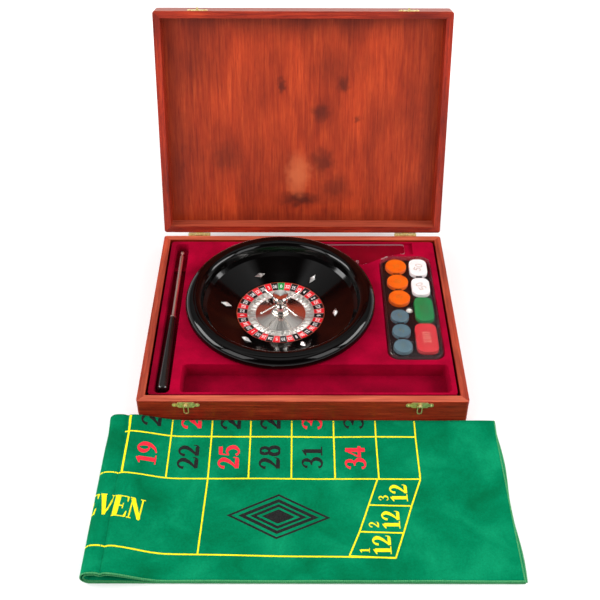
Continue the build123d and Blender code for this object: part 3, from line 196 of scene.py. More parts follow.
def stained_board(name, along, lid, wear):
    """Alder under mahogany stain: long cloudy streaks, fine dark pores, and a pale painted highlight on faces
    that look up, with some wear on the rims.
    """
    made, tree, shader = finish_of(
        name, Roughness=0.42, IOR=1.45, Coat_Weight=0.08, Coat_Roughness=0.2, Specular_IOR_Level=0.3,
    )
    cloud = add(tree, "TexNoise", grain_space(tree, along, lid, 120, 22), Scale=1.0, Detail=4.0, Roughness=0.55)
    streak = add(
        tree, "TexNoise", grain_space(tree, along, lid, 60, 2.6), Scale=1.0, Detail=5.0, Roughness=0.6,
        Distortion=0.35,
    )
    pore = add(tree, "TexNoise", grain_space(tree, along, lid, 9, 0.7), Scale=1.0, Detail=2.0)
    body = add(
        tree, "ValToRGB", streak,
        stops=[(0.28, "#7A160A"), (0.74, "#CA4622"), (0.46, "#9E2812"), (0.58, "#B23218")],
    )
    shade = add(tree, "ValToRGB", cloud, stops=[(0.3, "#8A8080"), (0.68, "#FFFFFF")])
    body = add(tree, "MixRGB", 0.75, body, shade, blend_type="MULTIPLY")
    pores = add(tree, "ValToRGB", pore, stops=[(0.30, "#5A3A34"), (0.42, "#FFFFFF")])
    body = add(tree, "MixRGB", 0.55, body, pores, blend_type="MULTIPLY")
    # The pale colour that faces looking up turn to: a painted highlight, with some stain worn thin on the rims.
    worn = add(tree, "ValToRGB", streak, stops=[(0.3, "#A0402C"), (0.75, "#DC7454")])
    facing = add(tree, "SeparateXYZ", add(tree, "NewGeometry").outputs["Normal"]).outputs["Z"]
    top_highlight_and_wear = add(tree, "MapRange", facing, 0.55, 0.98, 0.0, wear)
    feed(shader, "Base Color", add(tree, "MixRGB", top_highlight_and_wear, body, worn))
    rise = add(tree, "Math", streak, pore, operation="ADD")
    feed(shader, "Normal", add(tree, "Bump", 0.18, 0.0006, Height=rise))
    return made


# Each board's last number is how far faces that look up are painted pale: a painted highlight, with some wear on
# the rims.
coat(stained_board("mahogany_stained_alder_base_long", "X", False, 0.85), "base_front_board", "base_back_board")
coat(
    stained_board("mahogany_stained_alder_base_short", "Y", False, 0.3), "base_left_board", "base_right_board",
    "base_bottom_panel",
)
coat(stained_board("mahogany_stained_alder_lid_long", "X", True, 0.7), "lid_front_board", "lid_back_board")
coat(stained_board("mahogany_stained_alder_lid_short", "Y", True, 0.6), "lid_left_board", "lid_right_board")


# ---- lid panel -------------------------------------------------------------------------------
# Rotary-cut birch plywood let into the lid, stained brighter than the boards. Its grain stands
# upright in the open lid and bends round small dark knots and one pale, oval filled one.
HINGE_LINE = 89.0        # of the lid turned back to shut, from the hinge pins to its own origin
# Knots, then broad darker patches, then bands of painted shade along the panel's top, bottom and sides: along the
# case, up from the hinge, half width, half height (mm), depth.
PANEL_KNOTS_AND_SHADE = [
    (-32, 223, 8, 16, 0.75), (60, 225, 12, 18, 0.75), (26, 183, 18, 20, 0.7), (81, 173, 8, 11, 0.6),
    (-117, 116, 34, 36, 0.45), (28, 107, 26, 30, 0.7), (47, 66, 42, 32, 0.55), (-3, 47, 44, 17, 0.9),
    (50, 250, 60, 40, 0.3), (-160, 270, 70, 80, 0.25), (0, 328, 260, 50, 0.52), (0, 8, 300, 36, 0.52),
    (-190, 150, 30, 220, 0.38), (190, 150, 24, 220, 0.3),
]
PALE_KNOT = (-7, 87, 23, 46, 0.85)
panel_ply, tree, shader = finish_of(
    "stained_birch_plywood", Roughness=0.45, IOR=1.45, Coat_Weight=0.05, Coat_Roughness=0.25,
    Specular_IOR_Level=0.3,
)
bent = grain_space(tree, "Y", True, 70, 3.2)
streak = add(tree, "TexNoise", bent, Scale=1.0, Detail=6.0, Roughness=0.62, Distortion=0.5)
cloud = add(tree, "TexNoise", grain_space(tree, "Y", True, 110, 38), Scale=1.0, Detail=3.0, Roughness=0.5)
fibre = add(tree, "TexNoise", grain_space(tree, "Y", True, 14, 0.8), Scale=1.0, Detail=2.0)
body = add(
    tree, "ValToRGB", streak, stops=[(0.26, "#9A290F"), (0.76, "#D85828"), (0.45, "#B43A16"), (0.6, "#C4461C")],
)
shade = add(tree, "ValToRGB", cloud, stops=[(0.3, "#A89088"), (0.66, "#FFFFFF")])
body = add(tree, "MixRGB", 0.7, body, shade, blend_type="MULTIPLY")
lines = add(tree, "ValToRGB", fibre, stops=[(0.3, "#8A5A4A"), (0.5, "#FFFFFF")])
body = add(tree, "MixRGB", 0.3, body, lines, blend_type="MULTIPLY")
turned = add(tree, "Mapping", add(tree, "TexCoord").outputs["Object"], Rotation=(LID_LEAN, 0, 0))
wander = add(tree, "TexNoise", turned, Scale=per_metre(14), Detail=2.0)
wander = add(tree, "VectorMath", wander.outputs["Color"], (0.5, 0.5, 0.5), operation="SUBTRACT")
wander = add(tree, "VectorMath", wander, (0.022, 0.022, 0), operation="MULTIPLY")
turned = add(tree, "VectorMath", turned, wander, operation="ADD")


def stain_round(middle, up, wide, tall, depth):
    """How much of a colour an oval takes, for knots and for bands of painted shade: nothing outside it, most near
    its middle.
    """
    place = add(
        tree, "Mapping", turned, Location=(-middle / wide, -(HINGE_LINE + up) / tall, 0),
        Scale=(per_metre(wide), -per_metre(tall), 0),
    )
    reach = add(tree, "VectorMath", place, operation="LENGTH").outputs["Value"]
    return add(tree, "MapRange", reach, 0.15, 1.0, depth, 0.0, interpolation_type="SMOOTHSTEP")


# Dark knots, broad darker patches and bands of painted shade along the panel's rims, each mixed toward the dark
# colour.
for dark_oval in PANEL_KNOTS_AND_SHADE:
    body = add(tree, "MixRGB", stain_round(*dark_oval), body, "#4A1206")
body = add(tree, "MixRGB", stain_round(*PALE_KNOT), body, "#C8623A")
feed(shader, "Base Color", body)
rise = add(tree, "Math", streak, fibre, operation="ADD")
feed(shader, "Normal", add(tree, "Bump", 0.15, 0.0005, Height=rise))
coat(panel_ply, "lid_panel")


# ---- hinges and catches ----------------------------------------------------------------------
# Stamped brass strip with a thin bright plating: two stop hinges screwed to the rear face, two box
# catches with a shaped plate, a wire loop and a hook, all held by brass pins and screws.
brass, tree, shader = finish_of("stamped_brass", Metallic=0.72, Roughness=0.34)
place = add(tree, "TexCoord").outputs["Object"]
tarnish = add(tree, "TexNoise", place, Scale=per_metre(3.0), Detail=4.0)
plating = add(tree, "ValToRGB", tarnish, stops=[(0.3, "#C4AE6C"), (0.7, "#FFF0B4"), (0.5, "#E6D28A")])
feed(shader, "Base Color", plating)
feed(shader, "Roughness", add(tree, "MapRange", tarnish, 0.3, 0.7, 0.42, 0.26))
dent = add(tree, "TexNoise", place, Scale=per_metre(1.6), Detail=2.0)
feed(shader, "Normal", add(tree, "Bump", 0.2, 0.0002, Height=dent))
coat(brass, *[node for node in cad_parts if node.startswith(("hinge_", "catch_"))])


# ---- tray ------------------------------------------------------------------------------------
# Vacuum-formed polystyrene sheet, flocked with crimson nylon fibre. The short pile takes the
# light at its edges and shows soft patches where it leans another way. Painted shade darkens the hollows and a
# strip at the far left.
flock, tree, shader = finish_of(
    "crimson_nylon_flock", Roughness=0.9, Sheen_Weight=0.08, Sheen_Roughness=0.4, Sheen_Tint="#FF3060", IOR=1.45,
    Specular_IOR_Level=0.05,
)
place = add(tree, "TexCoord").outputs["Object"]
lean = add(tree, "TexNoise", place, Scale=per_metre(34), Detail=3.0)
pile = add(tree, "TexNoise", place, Scale=per_metre(0.9), Detail=3.0, Roughness=0.7)
body = add(tree, "ValToRGB", lean, stops=[(0.32, "#8E0024"), (0.68, "#AE002E")])
speck = add(tree, "ValToRGB", pile, stops=[(0.3, "#B8B0B2"), (0.6, "#FFFFFF")])
body = add(tree, "MixRGB", 0.5, body, speck, blend_type="MULTIPLY")
part = add(tree, "SeparateXYZ", place).outputs
# Painted shade: darker below the deck, in the hollows, and on a strip at the far left.
hollow_shade = add(tree, "MapRange", part["Z"], 0.022, 0.036, 0.72, 1.0)
left_strip_shadow = add(tree, "MapRange", part["X"], -0.205, -0.165, 0.55, 1.0)
painted_shade = add(tree, "Math", hollow_shade, left_strip_shadow, operation="MULTIPLY")
painted_shade = add(tree, "CombineXYZ", painted_shade, painted_shade, painted_shade)
feed(shader, "Base Color", add(tree, "MixRGB", 1.0, body, painted_shade, blend_type="MULTIPLY"))
feed(shader, "Normal", add(tree, "Bump", 0.45, 0.0004, Height=pile))
coat(flock, "tray_insert")


# ---- wheel bowl ------------------------------------------------------------------------------
# One compression-moulded phenolic bowl with a rolled rim, polished to a deep black. Faint long
# ripples are left from the polishing mop.
bowl_black, tree, shader = finish_of(
    "polished_black_phenolic", Base_Color="#040303", Roughness=0.08, IOR=1.5, Specular_IOR_Level=0.28,
)
place = add(tree, "TexCoord").outputs["Object"]
ripple = add(tree, "TexNoise", place, Scale=per_metre(26), Detail=2.0)
feed(shader, "Normal", add(tree, "Bump", 0.12, 0.0008, Height=ripple))
dust = add(tree, "TexNoise", place, Scale=per_metre(1.2), Detail=2.0)
feed(shader, "Roughness", add(tree, "MapRange", dust, 0.4, 0.75, 0.07, 0.12))
coat(bowl_black, "wheel_bowl")


# ---- deflectors, spindle and washer ----------------------------------------------------------
# Six lozenges of die-cast zinc, polished and nickel plated, and the turned steel spindle with
# its bronze washer that the rotor runs on.
nickel, tree, shader = finish_of("plated_nickel", Metallic=1.0, Roughness=0.3)
place = add(tree, "TexCoord").outputs["Object"]
haze = add(tree, "TexNoise", place, Scale=per_metre(5), Detail=3.0)
feed(shader, "Base Color", add(tree, "ValToRGB", haze, stops=[(0.3, "#E4DEDA"), (0.7, "#FFFDFA")]))
feed(shader, "Roughness", add(tree, "MapRange", haze, 0.3, 0.7, 0.5, 0.36))
coat(nickel, "ball_deflectors")

turned_steel, tree, shader = finish_of("turned_steel", Base_Color="#C4C2C0", Metallic=1.0, Roughness=0.3)
place = add(tree, "Mapping", add(tree, "TexCoord").outputs["Object"], Scale=(1, 1, per_metre(0.4)))
lathe = add(tree, "TexNoise", place, Scale=1.0, Detail=2.0)
feed(shader, "Roughness", add(tree, "MapRange", lathe, 0.3, 0.7, 0.22, 0.4))
coat(turned_steel, "wheel_spindle", "rotor_dish")

bronze, tree, shader = finish_of("sintered_bronze", Base_Color="#A8793C", Metallic=1.0, Roughness=0.4)
grit = add(tree, "TexNoise", add(tree, "TexCoord").outputs["Object"], Scale=per_metre(0.5), Detail=2.0)
feed(shader, "Base Color", add(tree, "ValToRGB", grit, stops=[(0.35, "#7E5626"), (0.6, "#BC8A4A")]))
coat(bronze, "thrust_washer", "rotor_bush")


# ---- number ring -----------------------------------------------------------------------------
# A moulded ring printed with 37 fields, red and black by turns with one green, each with a white
# numeral whose foot points at the pockets. A fine silver line parts the fields.
WHEEL = Vector((-31.0, 18.0, 0.0))       # the wheel's axis, in millimetres as all that follows
FIELDS = 37
RING_OUTER, RING_INNER, RING_TOP, RING_FALL = 61.3, 47.7, 24.0, 1.4
NUMERAL_TALL, NUMERAL_PROUD = 6.0, 0.06  # the figures' height, and how far they stand off the ring
WHEEL_ORDER = [0, 32, 15, 19, 4, 21, 2, 25, 17, 34, 6, 27, 13, 36, 11, 30, 8, 23, 10, 5, 24, 16, 33,
               1, 20, 14, 31, 9, 22, 18, 29, 7, 28, 12, 35, 3, 26]


def round_wheel(tree):
    """How far round the wheel a point is, clockwise from the far side (0 to 1), and how far from its axis."""
    place = add(tree, "TexCoord").outputs["Object"]
    centred = add(tree, "Mapping", place, Location=tuple(-WHEEL / 1000))
    part = add(tree, "SeparateXYZ", centred).outputs
    angle = add(tree, "Math", part["X"], part["Y"], operation="ARCTAN2")
    share = add(tree, "Math", add(tree, "Math", angle, 1 / (2 * pi), operation="MULTIPLY"), 1.0, operation="ADD")
    around = add(tree, "Math", share, operation="FRACT")
    flat = add(tree, "CombineXYZ", part["X"], part["Y"], 0.0)
    return around, add(tree, "VectorMath", flat, operation="LENGTH").outputs["Value"]


ring_print, tree, shader = finish_of("printed_ring_enamel", Roughness=0.34, IOR=1.45, Specular_IOR_Level=0.35)
around = round_wheel(tree)[0]
counted = add(tree, "Math", add(tree, "Math", around, FIELDS, operation="MULTIPLY"), 0.5, operation="ADD")
field = add(tree, "Math", counted, operation="FLOOR")
within = add(tree, "Math", counted, operation="FRACT")
even = add(tree, "Math", add(tree, "Math", field, 2.0, operation="MODULO"), 0.5, operation="LESS_THAN")
first = add(tree, "Math", add(tree, "Math", field, FIELDS, operation="MODULO"), 0.5, operation="LESS_THAN")
body = add(tree, "MixRGB", even, "#DE1424", "#0C0B0C")
body = add(tree, "MixRGB", first, body, "#128A40")
edge = add(tree, "Math", add(tree, "Math", within, 0.5, operation="SUBTRACT"), operation="ABSOLUTE")
parting = add(tree, "Math", edge, 0.478, operation="GREATER_THAN")
body = add(tree, "MixRGB", parting, body, "#C9C4BE")
feed(shader, "Base Color", body)
coat(ring_print, "number_ring")


def sampled(points, close, steps=5, straight=8):
    """A smooth run through given (x, y, width) points, or a straight one between two."""
    count = len(points)
    if count == 2:
        return [tuple(a + (b - a) * k / straight for a, b in zip(*points)) for k in range(straight + 1)]
    run = []
    for k in range(count if close else count - 1):
        around = [(k + d) % count if close else min(max(k + d, 0), count - 1) for d in (-1, 0, 1, 2)]
        near = [points[place] for place in around]
        for step in range(steps):
            t = step / steps
            run.append(tuple(
                0.5 * (
                    2 * b + (c - a) * t + (2 * a - 5 * b + 4 * c - d) * t * t + (3 * b - a - 3 * c + d) * t ** 3
                )
                for a, b, c, d in zip(*near)
            ))
    return run if close else run + [points[-1]]


def oval(x, y, across, up, side, top):
    """A closed stroke round an oval, wide at its sides and thin at its top."""
    turns = [(cos(k * pi / 4), sin(k * pi / 4)) for k in range(8)]
    return [(x + across * c, y + up * s, side * abs(c) + top * abs(s)) for c, s in turns]


# Each sign is written with a broad pen: its width, then strokes of (x, y, width) on a body one unit high.
SIX = [(0.60, 0.97, 0.04), (0.38, 0.88, 0.11), (0.18, 0.62, 0.18), (0.15, 0.30, 0.20), (0.34, 0.04, 0.08),
       (0.55, 0.18, 0.18), (0.56, 0.40, 0.17), (0.38, 0.58, 0.07), (0.20, 0.50, 0.06)]
SIGNS = {
    "0": (0.72, [oval(0.36, 0.5, 0.23, 0.46, 0.19, 0.07)]),
    "1": (0.62, [
        [(0.34, 0.02, 0.2), (0.34, 0.9, 0.2)],
        [(0.08, 0.80, 0.05), (0.22, 0.86, 0.09), (0.40, 0.98, 0.06)],
        [(0.08, 0.025, 0.05), (0.60, 0.025, 0.05)],
    ]),
    "2": (0.72, [
        [(0.10, 0.68, 0.14), (0.12, 0.80, 0.12), (0.24, 0.95, 0.08), (0.42, 0.95, 0.12), (0.55, 0.76, 0.20),
         (0.46, 0.50, 0.16), (0.24, 0.24, 0.10), (0.07, 0.09, 0.07)],
        [(0.06, 0.08, 0.16), (0.58, 0.08, 0.16)],
        [(0.58, 0.04, 0.10), (0.66, 0.16, 0.06), (0.67, 0.28, 0.03)],
    ]),
    "3": (0.68, [
        [(0.10, 0.74, 0.14), (0.14, 0.86, 0.10), (0.28, 0.97, 0.06), (0.46, 0.92, 0.13), (0.50, 0.74, 0.18),
         (0.40, 0.58, 0.09), (0.22, 0.53, 0.05)],
        [(0.22, 0.54, 0.05), (0.44, 0.50, 0.10), (0.57, 0.30, 0.20), (0.46, 0.08, 0.14), (0.26, 0.02, 0.07),
         (0.12, 0.10, 0.10), (0.09, 0.20, 0.13)],
    ]),
    "4": (0.72, [
        [(0.44, 0.98, 0.07), (0.05, 0.33, 0.07)],
        [(0.03, 0.28, 0.13), (0.67, 0.28, 0.13)],
        [(0.45, 0.0, 0.2), (0.45, 0.97, 0.2)],
    ]),
    "5": (0.68, [
        [(0.14, 0.91, 0.16), (0.58, 0.93, 0.16)],
        [(0.15, 0.97, 0.06), (0.10, 0.50, 0.05)],
        [(0.10, 0.50, 0.05), (0.30, 0.61, 0.10), (0.52, 0.46, 0.19), (0.54, 0.22, 0.19), (0.34, 0.02, 0.09),
         (0.16, 0.06, 0.09), (0.09, 0.16, 0.13)],
    ]),
    "6": (0.72, [SIX]),
    "7": (0.68, [
        [(0.07, 0.89, 0.17), (0.63, 0.89, 0.17)],
        [(0.09, 0.96, 0.05), (0.05, 0.70, 0.03)],
        [(0.62, 0.88, 0.08), (0.42, 0.45, 0.14), (0.30, 0.0, 0.22)],
    ]),
    "8": (0.72, [oval(0.36, 0.75, 0.18, 0.21, 0.15, 0.07), oval(0.36, 0.27, 0.22, 0.25, 0.18, 0.07)]),
    "9": (0.72, [[(0.72 - x, 1 - y, w) for x, y, w in SIX]]),
    "E": (0.84, [
        [(0.20, 0.0, 0.2), (0.20, 1.0, 0.2)],
        [(0.03, 0.975, 0.05), (0.74, 0.975, 0.05)],
        [(0.03, 0.025, 0.05), (0.76, 0.025, 0.05)],
        [(0.30, 0.51, 0.06), (0.52, 0.51, 0.06)],
        [(0.72, 0.98, 0.10), (0.75, 0.74, 0.03)],
        [(0.73, 0.02, 0.12), (0.79, 0.30, 0.03)],
        [(0.53, 0.38, 0.04), (0.53, 0.64, 0.04)],
    ]),
    "V": (0.88, [
        [(0.16, 0.97, 0.21), (0.44, 0.0, 0.14)],
        [(0.72, 0.97, 0.07), (0.46, 0.0, 0.06)],
        [(0.0, 0.975, 0.05), (0.34, 0.975, 0.05)],
        [(0.58, 0.975, 0.05), (0.88, 0.975, 0.05)],
    ]),
    "N": (0.90, [
        [(0.15, 0.0, 0.06), (0.15, 0.97, 0.06)],
        [(0.74, 0.0, 0.07), (0.74, 0.97, 0.07)],
        [(0.16, 0.95, 0.2), (0.73, 0.04, 0.16)],
        [(0.0, 0.975, 0.05), (0.26, 0.975, 0.05)],
        [(0.60, 0.975, 0.05), (0.88, 0.975, 0.05)],
        [(0.02, 0.025, 0.05), (0.28, 0.025, 0.05)],
    ]),
}
ROUND_SIGNS = "08"                   # written in strokes that close


def strokes_of(text, height, spread=1.0, weight=None, bold=1.0):
    """The sampled strokes of a word in millimetres, centred on its middle, with whether each one closes."""
    widths = [SIGNS[sign][0] * spread for sign in text]
    start, found = -sum(widths) / 2, []
    for sign, width in zip(text, widths):
        close = sign in ROUND_SIGNS
        for points in SIGNS[sign][1]:
            run = [
                ((start + x * spread) * height, (y - 0.5) * height, (weight or bold * w) * height)
                for x, y, w in sampled(points, close)
            ]
            found.append((run, close))
        start += width
    return found


ACROSS = (-1, -0.33, 0.33, 1)        # the points across a ribbon, in half widths
LAYERS, LAYER_RISE = 4, 0.012        # strokes that cross don't share a level


def meshed(name, points, faces, finish):
    """A new piece from points in metres and faces, in one finish."""
    mesh = bpy.data.meshes.new(name)
    mesh.from_pydata(points, [], faces)
    mesh.materials.append(finish)
    made = bpy.data.objects.new(name, mesh)
    bpy.context.scene.collection.objects.link(made)
    return made


def printed(name, strokes, place, finish):
    """A thin printed film: each stroke is a ribbon, and place(x, y, lift) lays its points on what carries it."""
    points, faces = [], []
    for layer, (run, close) in enumerate(strokes):
        first, count, lift = len(points), len(run), LAYER_RISE * (layer % LAYERS)
        for k, (x, y, width) in enumerate(run):
            before = run[k - 1] if k or close else run[k]
            after = run[(k + 1) % count] if k < count - 1 or close else run[k]
            dx, dy = after[0] - before[0], after[1] - before[1]
            long = hypot(dx, dy) or 1.0
            for side in ACROSS:
                spot = (x - side * dy / long * width / 2, y + side * dx / long * width / 2)
                points.append(Vector(place(*spot, lift)) / 1000)
        for k in range(count if close else count - 1):
            for column in range(len(ACROSS) - 1):
                a, b = first + len(ACROSS) * k + column, first + len(ACROSS) * ((k + 1) % count) + column
                faces.append((a, b, b + 1, a + 1))
    return meshed(name, points, faces, finish)


numeral_white, tree, shader = finish_of("white_printing_ink", Roughness=0.5, IOR=1.45)
grain = add(tree, "TexNoise", add(tree, "TexCoord").outputs["Object"], Scale=per_metre(0.8), Detail=2.0)
feed(shader, "Base Color", add(tree, "ValToRGB", grain, stops=[(0.3, "#E4E2DE"), (0.6, "#FFFFFF")]))
for step, number in enumerate(WHEEL_ORDER):
    turn = 2 * pi * step / FIELDS

    def on_ring(x, y, lift):
        r = (RING_OUTER + RING_INNER) / 2 + y
        a = turn + x / r
        fall = (RING_OUTER - r) / (RING_OUTER - RING_INNER) * RING_FALL
        return WHEEL.x + r * sin(a), WHEEL.y + r * cos(a), RING_TOP - fall + NUMERAL_PROUD + lift

    figures = strokes_of(str(number), NUMERAL_TALL, spread=0.76, weight=0.12)
    numeral = printed(f"wheel_numeral_{number}", figures, on_ring, numeral_white)
    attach(numeral, "rotor")


# ---- rotor metal -----------------------------------------------------------------------------
# The pocket ring is die-cast with a fret for each field and chromed satin. The spun brass cone,
# with its fine radial marks, and the turned turret with its scalloped crown are chromed bright.
chrome, tree, shader = finish_of("bright_chrome", Base_Color="#F2EEE8", Metallic=1.0, Roughness=0.12)
smear = add(tree, "TexNoise", add(tree, "TexCoord").outputs["Object"], Scale=per_metre(6), Detail=3.0)
feed(shader, "Roughness", add(tree, "MapRange", smear, 0.3, 0.7, 0.08, 0.2))
coat(chrome, "turret_foot", "turret_arms", "turret_neck", "turret_crown", "rotor_rim_band")

spun, tree, shader = finish_of("spun_chromed_brass", Base_Color="#E2DCD5", Metallic=1.0, Roughness=0.2)
around, radius = round_wheel(tree)
SPOKES_ROUND, SPOKES_PER_METRE = 90.0, 30.0
around = add(tree, "Math", around, SPOKES_ROUND, operation="MULTIPLY")
outward = add(tree, "Math", radius, SPOKES_PER_METRE, operation="MULTIPLY")
spokes = add(tree, "TexNoise", add(tree, "CombineXYZ", around, outward, 0.0), Scale=1.0, Detail=2.0)
feed(shader, "Normal", add(tree, "Bump", 0.25, 0.0006, Height=spokes))
feed(shader, "Roughness", add(tree, "MapRange", spokes, 0.3, 0.7, 0.1, 0.24))
coat(spun, "rotor_cone")

cast, tree, shader = finish_of("satin_chromed_zinc", Metallic=1.0, Roughness=0.42)
bloom = add(tree, "TexNoise", add(tree, "TexCoord").outputs["Object"], Scale=per_metre(4), Detail=3.0)
feed(shader, "Base Color", add(tree, "ValToRGB", bloom, stops=[(0.3, "#ECE9E4"), (0.7, "#FFFEFC")]))
coat(cast, "pocket_ring")


# ---- rake ------------------------------------------------------------------------------------
# A turned grip in black lacquer with a nickel ferrule, a slim drawn rod and a knob that takes
# the clear acrylic blade, which lies apart in its recess behind the wheel.
lacquer, tree, shader = finish_of(
    "black_lacquered_wood", Base_Color="#0B0808", Roughness=0.2, IOR=1.5, Coat_Weight=0.6, Coat_Roughness=0.08,
)
stretch = (per_metre(2), per_metre(40), per_metre(2))
place = add(tree, "Mapping", add(tree, "TexCoord").outputs["Object"], Scale=stretch)
worn = add(tree, "TexNoise", place, Scale=1.0, Detail=3.0)
feed(shader, "Base Color", add(tree, "ValToRGB", worn, stops=[(0.35, "#080606"), (0.75, "#1C1412")]))
coat(lacquer, "rake_handle")

rod_metal, tree, shader = finish_of("drawn_nickel_silver", Metallic=1.0, Roughness=0.3)
stretch = (per_metre(0.6), per_metre(30), per_metre(0.6))
place = add(tree, "Mapping", add(tree, "TexCoord").outputs["Object"], Scale=stretch)
drawn = add(tree, "TexNoise", place, Scale=1.0, Detail=2.0)
feed(shader, "Base Color", add(tree, "ValToRGB", drawn, stops=[(0.3, "#F4D8CA"), (0.7, "#FFF6EE")]))
coat(rod_metal, "rake_ferrule", "rake_rod", "rake_tip")


def clear_plastic(name, tint, roughness, sawn):
    """Clear plastic that shows what lies under it, bright in its bends and pale where it was sawn."""
    made, tree, shader = finish_of(name, Base_Color=tint, Roughness=roughness, IOR=1.49, Transmission_Weight=1.0)
    haze = add(tree, "TexNoise", add(tree, "TexCoord").outputs["Object"], Scale=per_metre(9), Detail=4.0)
    feed(shader, "Roughness", add(tree, "MapRange", haze, 0.35, 0.7, roughness, roughness + 0.03))
    edge = add(tree, "MapRange", add(tree, "LayerWeight", 0.5).outputs["Facing"], 0.45, 0.97, 0.93, 0.4)
    facing = add(tree, "SeparateXYZ", add(tree, "NewGeometry").outputs["Normal"]).outputs["Z"]
    upright = add(tree, "Math", facing, operation="ABSOLUTE")
    flat = add(tree, "MapRange", upright, 0.99, 0.9, 1.0, 0.15)
    wall = add(tree, "MapRange", upright, 0.3, 0.1, 0.0, 1.0)
    bend = add(tree, "Math", flat, wall, operation="MAXIMUM")
    clear = add(tree, "Math", edge, bend, operation="MULTIPLY")
    clear = add(tree, "Math", clear, add(tree, "LightPath").outputs["Is Shadow Ray"], operation="MAXIMUM")
    both = add(tree, "MixShader", clear, shader, add(tree, "BsdfTransparent", tint))
    frosted = add(tree, "MapRange", upright, 0.55, 0.35, 0.0, sawn)
    both = add(tree, "MixShader", frosted, both, add(tree, "BsdfDiffuse", "#E4CCD2"))
    feed(tree.nodes["Material Output"], "Surface", both)
    return made


coat(clear_plastic("cast_acrylic", "#E8DDE0", 0.02, 0.5), "rake_blade")


# ---- chip box --------------------------------------------------------------------------------
# A clear polystyrene box and cover round a black vacuum-formed insert with a well for each stack.
# The clear walls show the chips' colours through them, and catch the light only along their bends.
coat(clear_plastic("clear_polystyrene", "#FDFCFC", 0.01, 0.03), "chip_box", "chip_box_lid")

insert_black, tree, shader = finish_of(
    "black_formed_polystyrene", Roughness=0.45, IOR=1.55, Specular_IOR_Level=0.2,
)
skin = add(tree, "TexNoise", add(tree, "TexCoord").outputs["Object"], Scale=per_metre(1.1), Detail=3.0)
feed(shader, "Base Color", add(tree, "ValToRGB", skin, stops=[(0.3, "#0C0306"), (0.7, "#18060A")]))
feed(shader, "Normal", add(tree, "Bump", 0.15, 0.0002, Height=skin))
coat(insert_black, "chip_insert")


# ---- chips, plaques and ball -----------------------------------------------------------------
# Injection-moulded in bright colours, five to a stack, with plain numbers hot-stamped in gold
# foil that has mostly worn off. The ball is cast phenolic, tumbled smooth.
def moulded(name, low, high):
    """A moulded chip: flow marks in its colour and a satin skin."""
    made, tree, shader = finish_of(name, Roughness=0.4, IOR=1.45, Specular_IOR_Level=0.3)
    place = add(tree, "TexCoord").outputs["Object"]
    flow = add(tree, "TexNoise", place, Scale=per_metre(11), Detail=4.0, Distortion=0.6)
    feed(shader, "Base Color", add(tree, "ValToRGB", flow, stops=[(0.3, low), (0.7, high)]))
    return made


coat(moulded("orange_moulded_chip", "#D45400", "#E26402"), "chips_orange")
coat(moulded("blue_grey_moulded_chip", "#425C68", "#54727C"), "chips_blue")
coat(moulded("white_moulded_plaque", "#E2DFDE", "#EEEBEA"), "plaques_white")
coat(moulded("green_moulded_plaque", "#0A6A34", "#128044"), "plaques_green")
coat(moulded("red_moulded_plaque", "#B41E26", "#C6323A"), "plaques_red")
coat(moulded("tumbled_white_phenolic", "#E6E2DA", "#F6F3EC"), "roulette_ball")

CHIP_TOP, FOIL_PROUD = 43.1, 0.04        # height of the stacks' tops, and the foil's own


def foil(name, colours):
    """Hot-stamped foil, worn through in places."""
    made, tree, shader = finish_of(name, Roughness=0.35, Metallic=0.6)
    wear = add(tree, "TexNoise", add(tree, "TexCoord").outputs["Object"], Scale=per_metre(1.5), Detail=3.0)
    feed(shader, "Base Color", add(tree, "ValToRGB", wear, stops=[(0.3, colours[0]), (0.7, colours[1])]))
    return made


ORANGE_FOIL, BLUE_FOIL, WHITE_FOIL = ("#B86C1C", "#A87C3A"), ("#5E6650", "#76785C"), ("#A88C7A", "#C4AC9A")
STAMPS = [       # stack, number, middle, turn in degrees, height and foil
    ("orange_1", "10", (137, 96), 12, 7, ORANGE_FOIL),
    ("orange_2", "10", (137, 62), -20, 7, ORANGE_FOIL),
    ("orange_3", "10", (137, 28), 152, 7, ORANGE_FOIL),
    ("blue_1", "5", (134.5, -9.5), 10, 8, BLUE_FOIL),
    ("blue_2", "5", (134.5, -38.5), 40, 8, BLUE_FOIL),
    ("blue_3", "5", (134.5, -67.5), -15, 8, BLUE_FOIL),
    ("white_1", "50", (169.3, 93), 68, 10.5, WHITE_FOIL),
    ("white_2", "50", (169.3, 51.6), 118, 10.5, WHITE_FOIL),
    ("green_1", "25", (169.3, 4.4), 90, 10.5, ("#3A5A3A", "#5A744C")),
    ("red_1", "100", (167.5, -52), 90, 10, ("#D8AE90", "#F0D2B4")),
]
for stack, number, (x0, y0), turn, tall, colours in STAMPS:
    def on_chip(x, y, lift):
        c, s = cos(radians(turn)), sin(radians(turn))
        return (x0 + x * c - y * s, y0 + x * s + y * c, CHIP_TOP + FOIL_PROUD + lift)

    figures = strokes_of(number, tall, spread=1.12, weight=0.1)
    stamp = printed(f"stamp_{stack}", figures, on_chip, foil(f"worn_foil_{stack}", colours))
    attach(stamp, "chips")


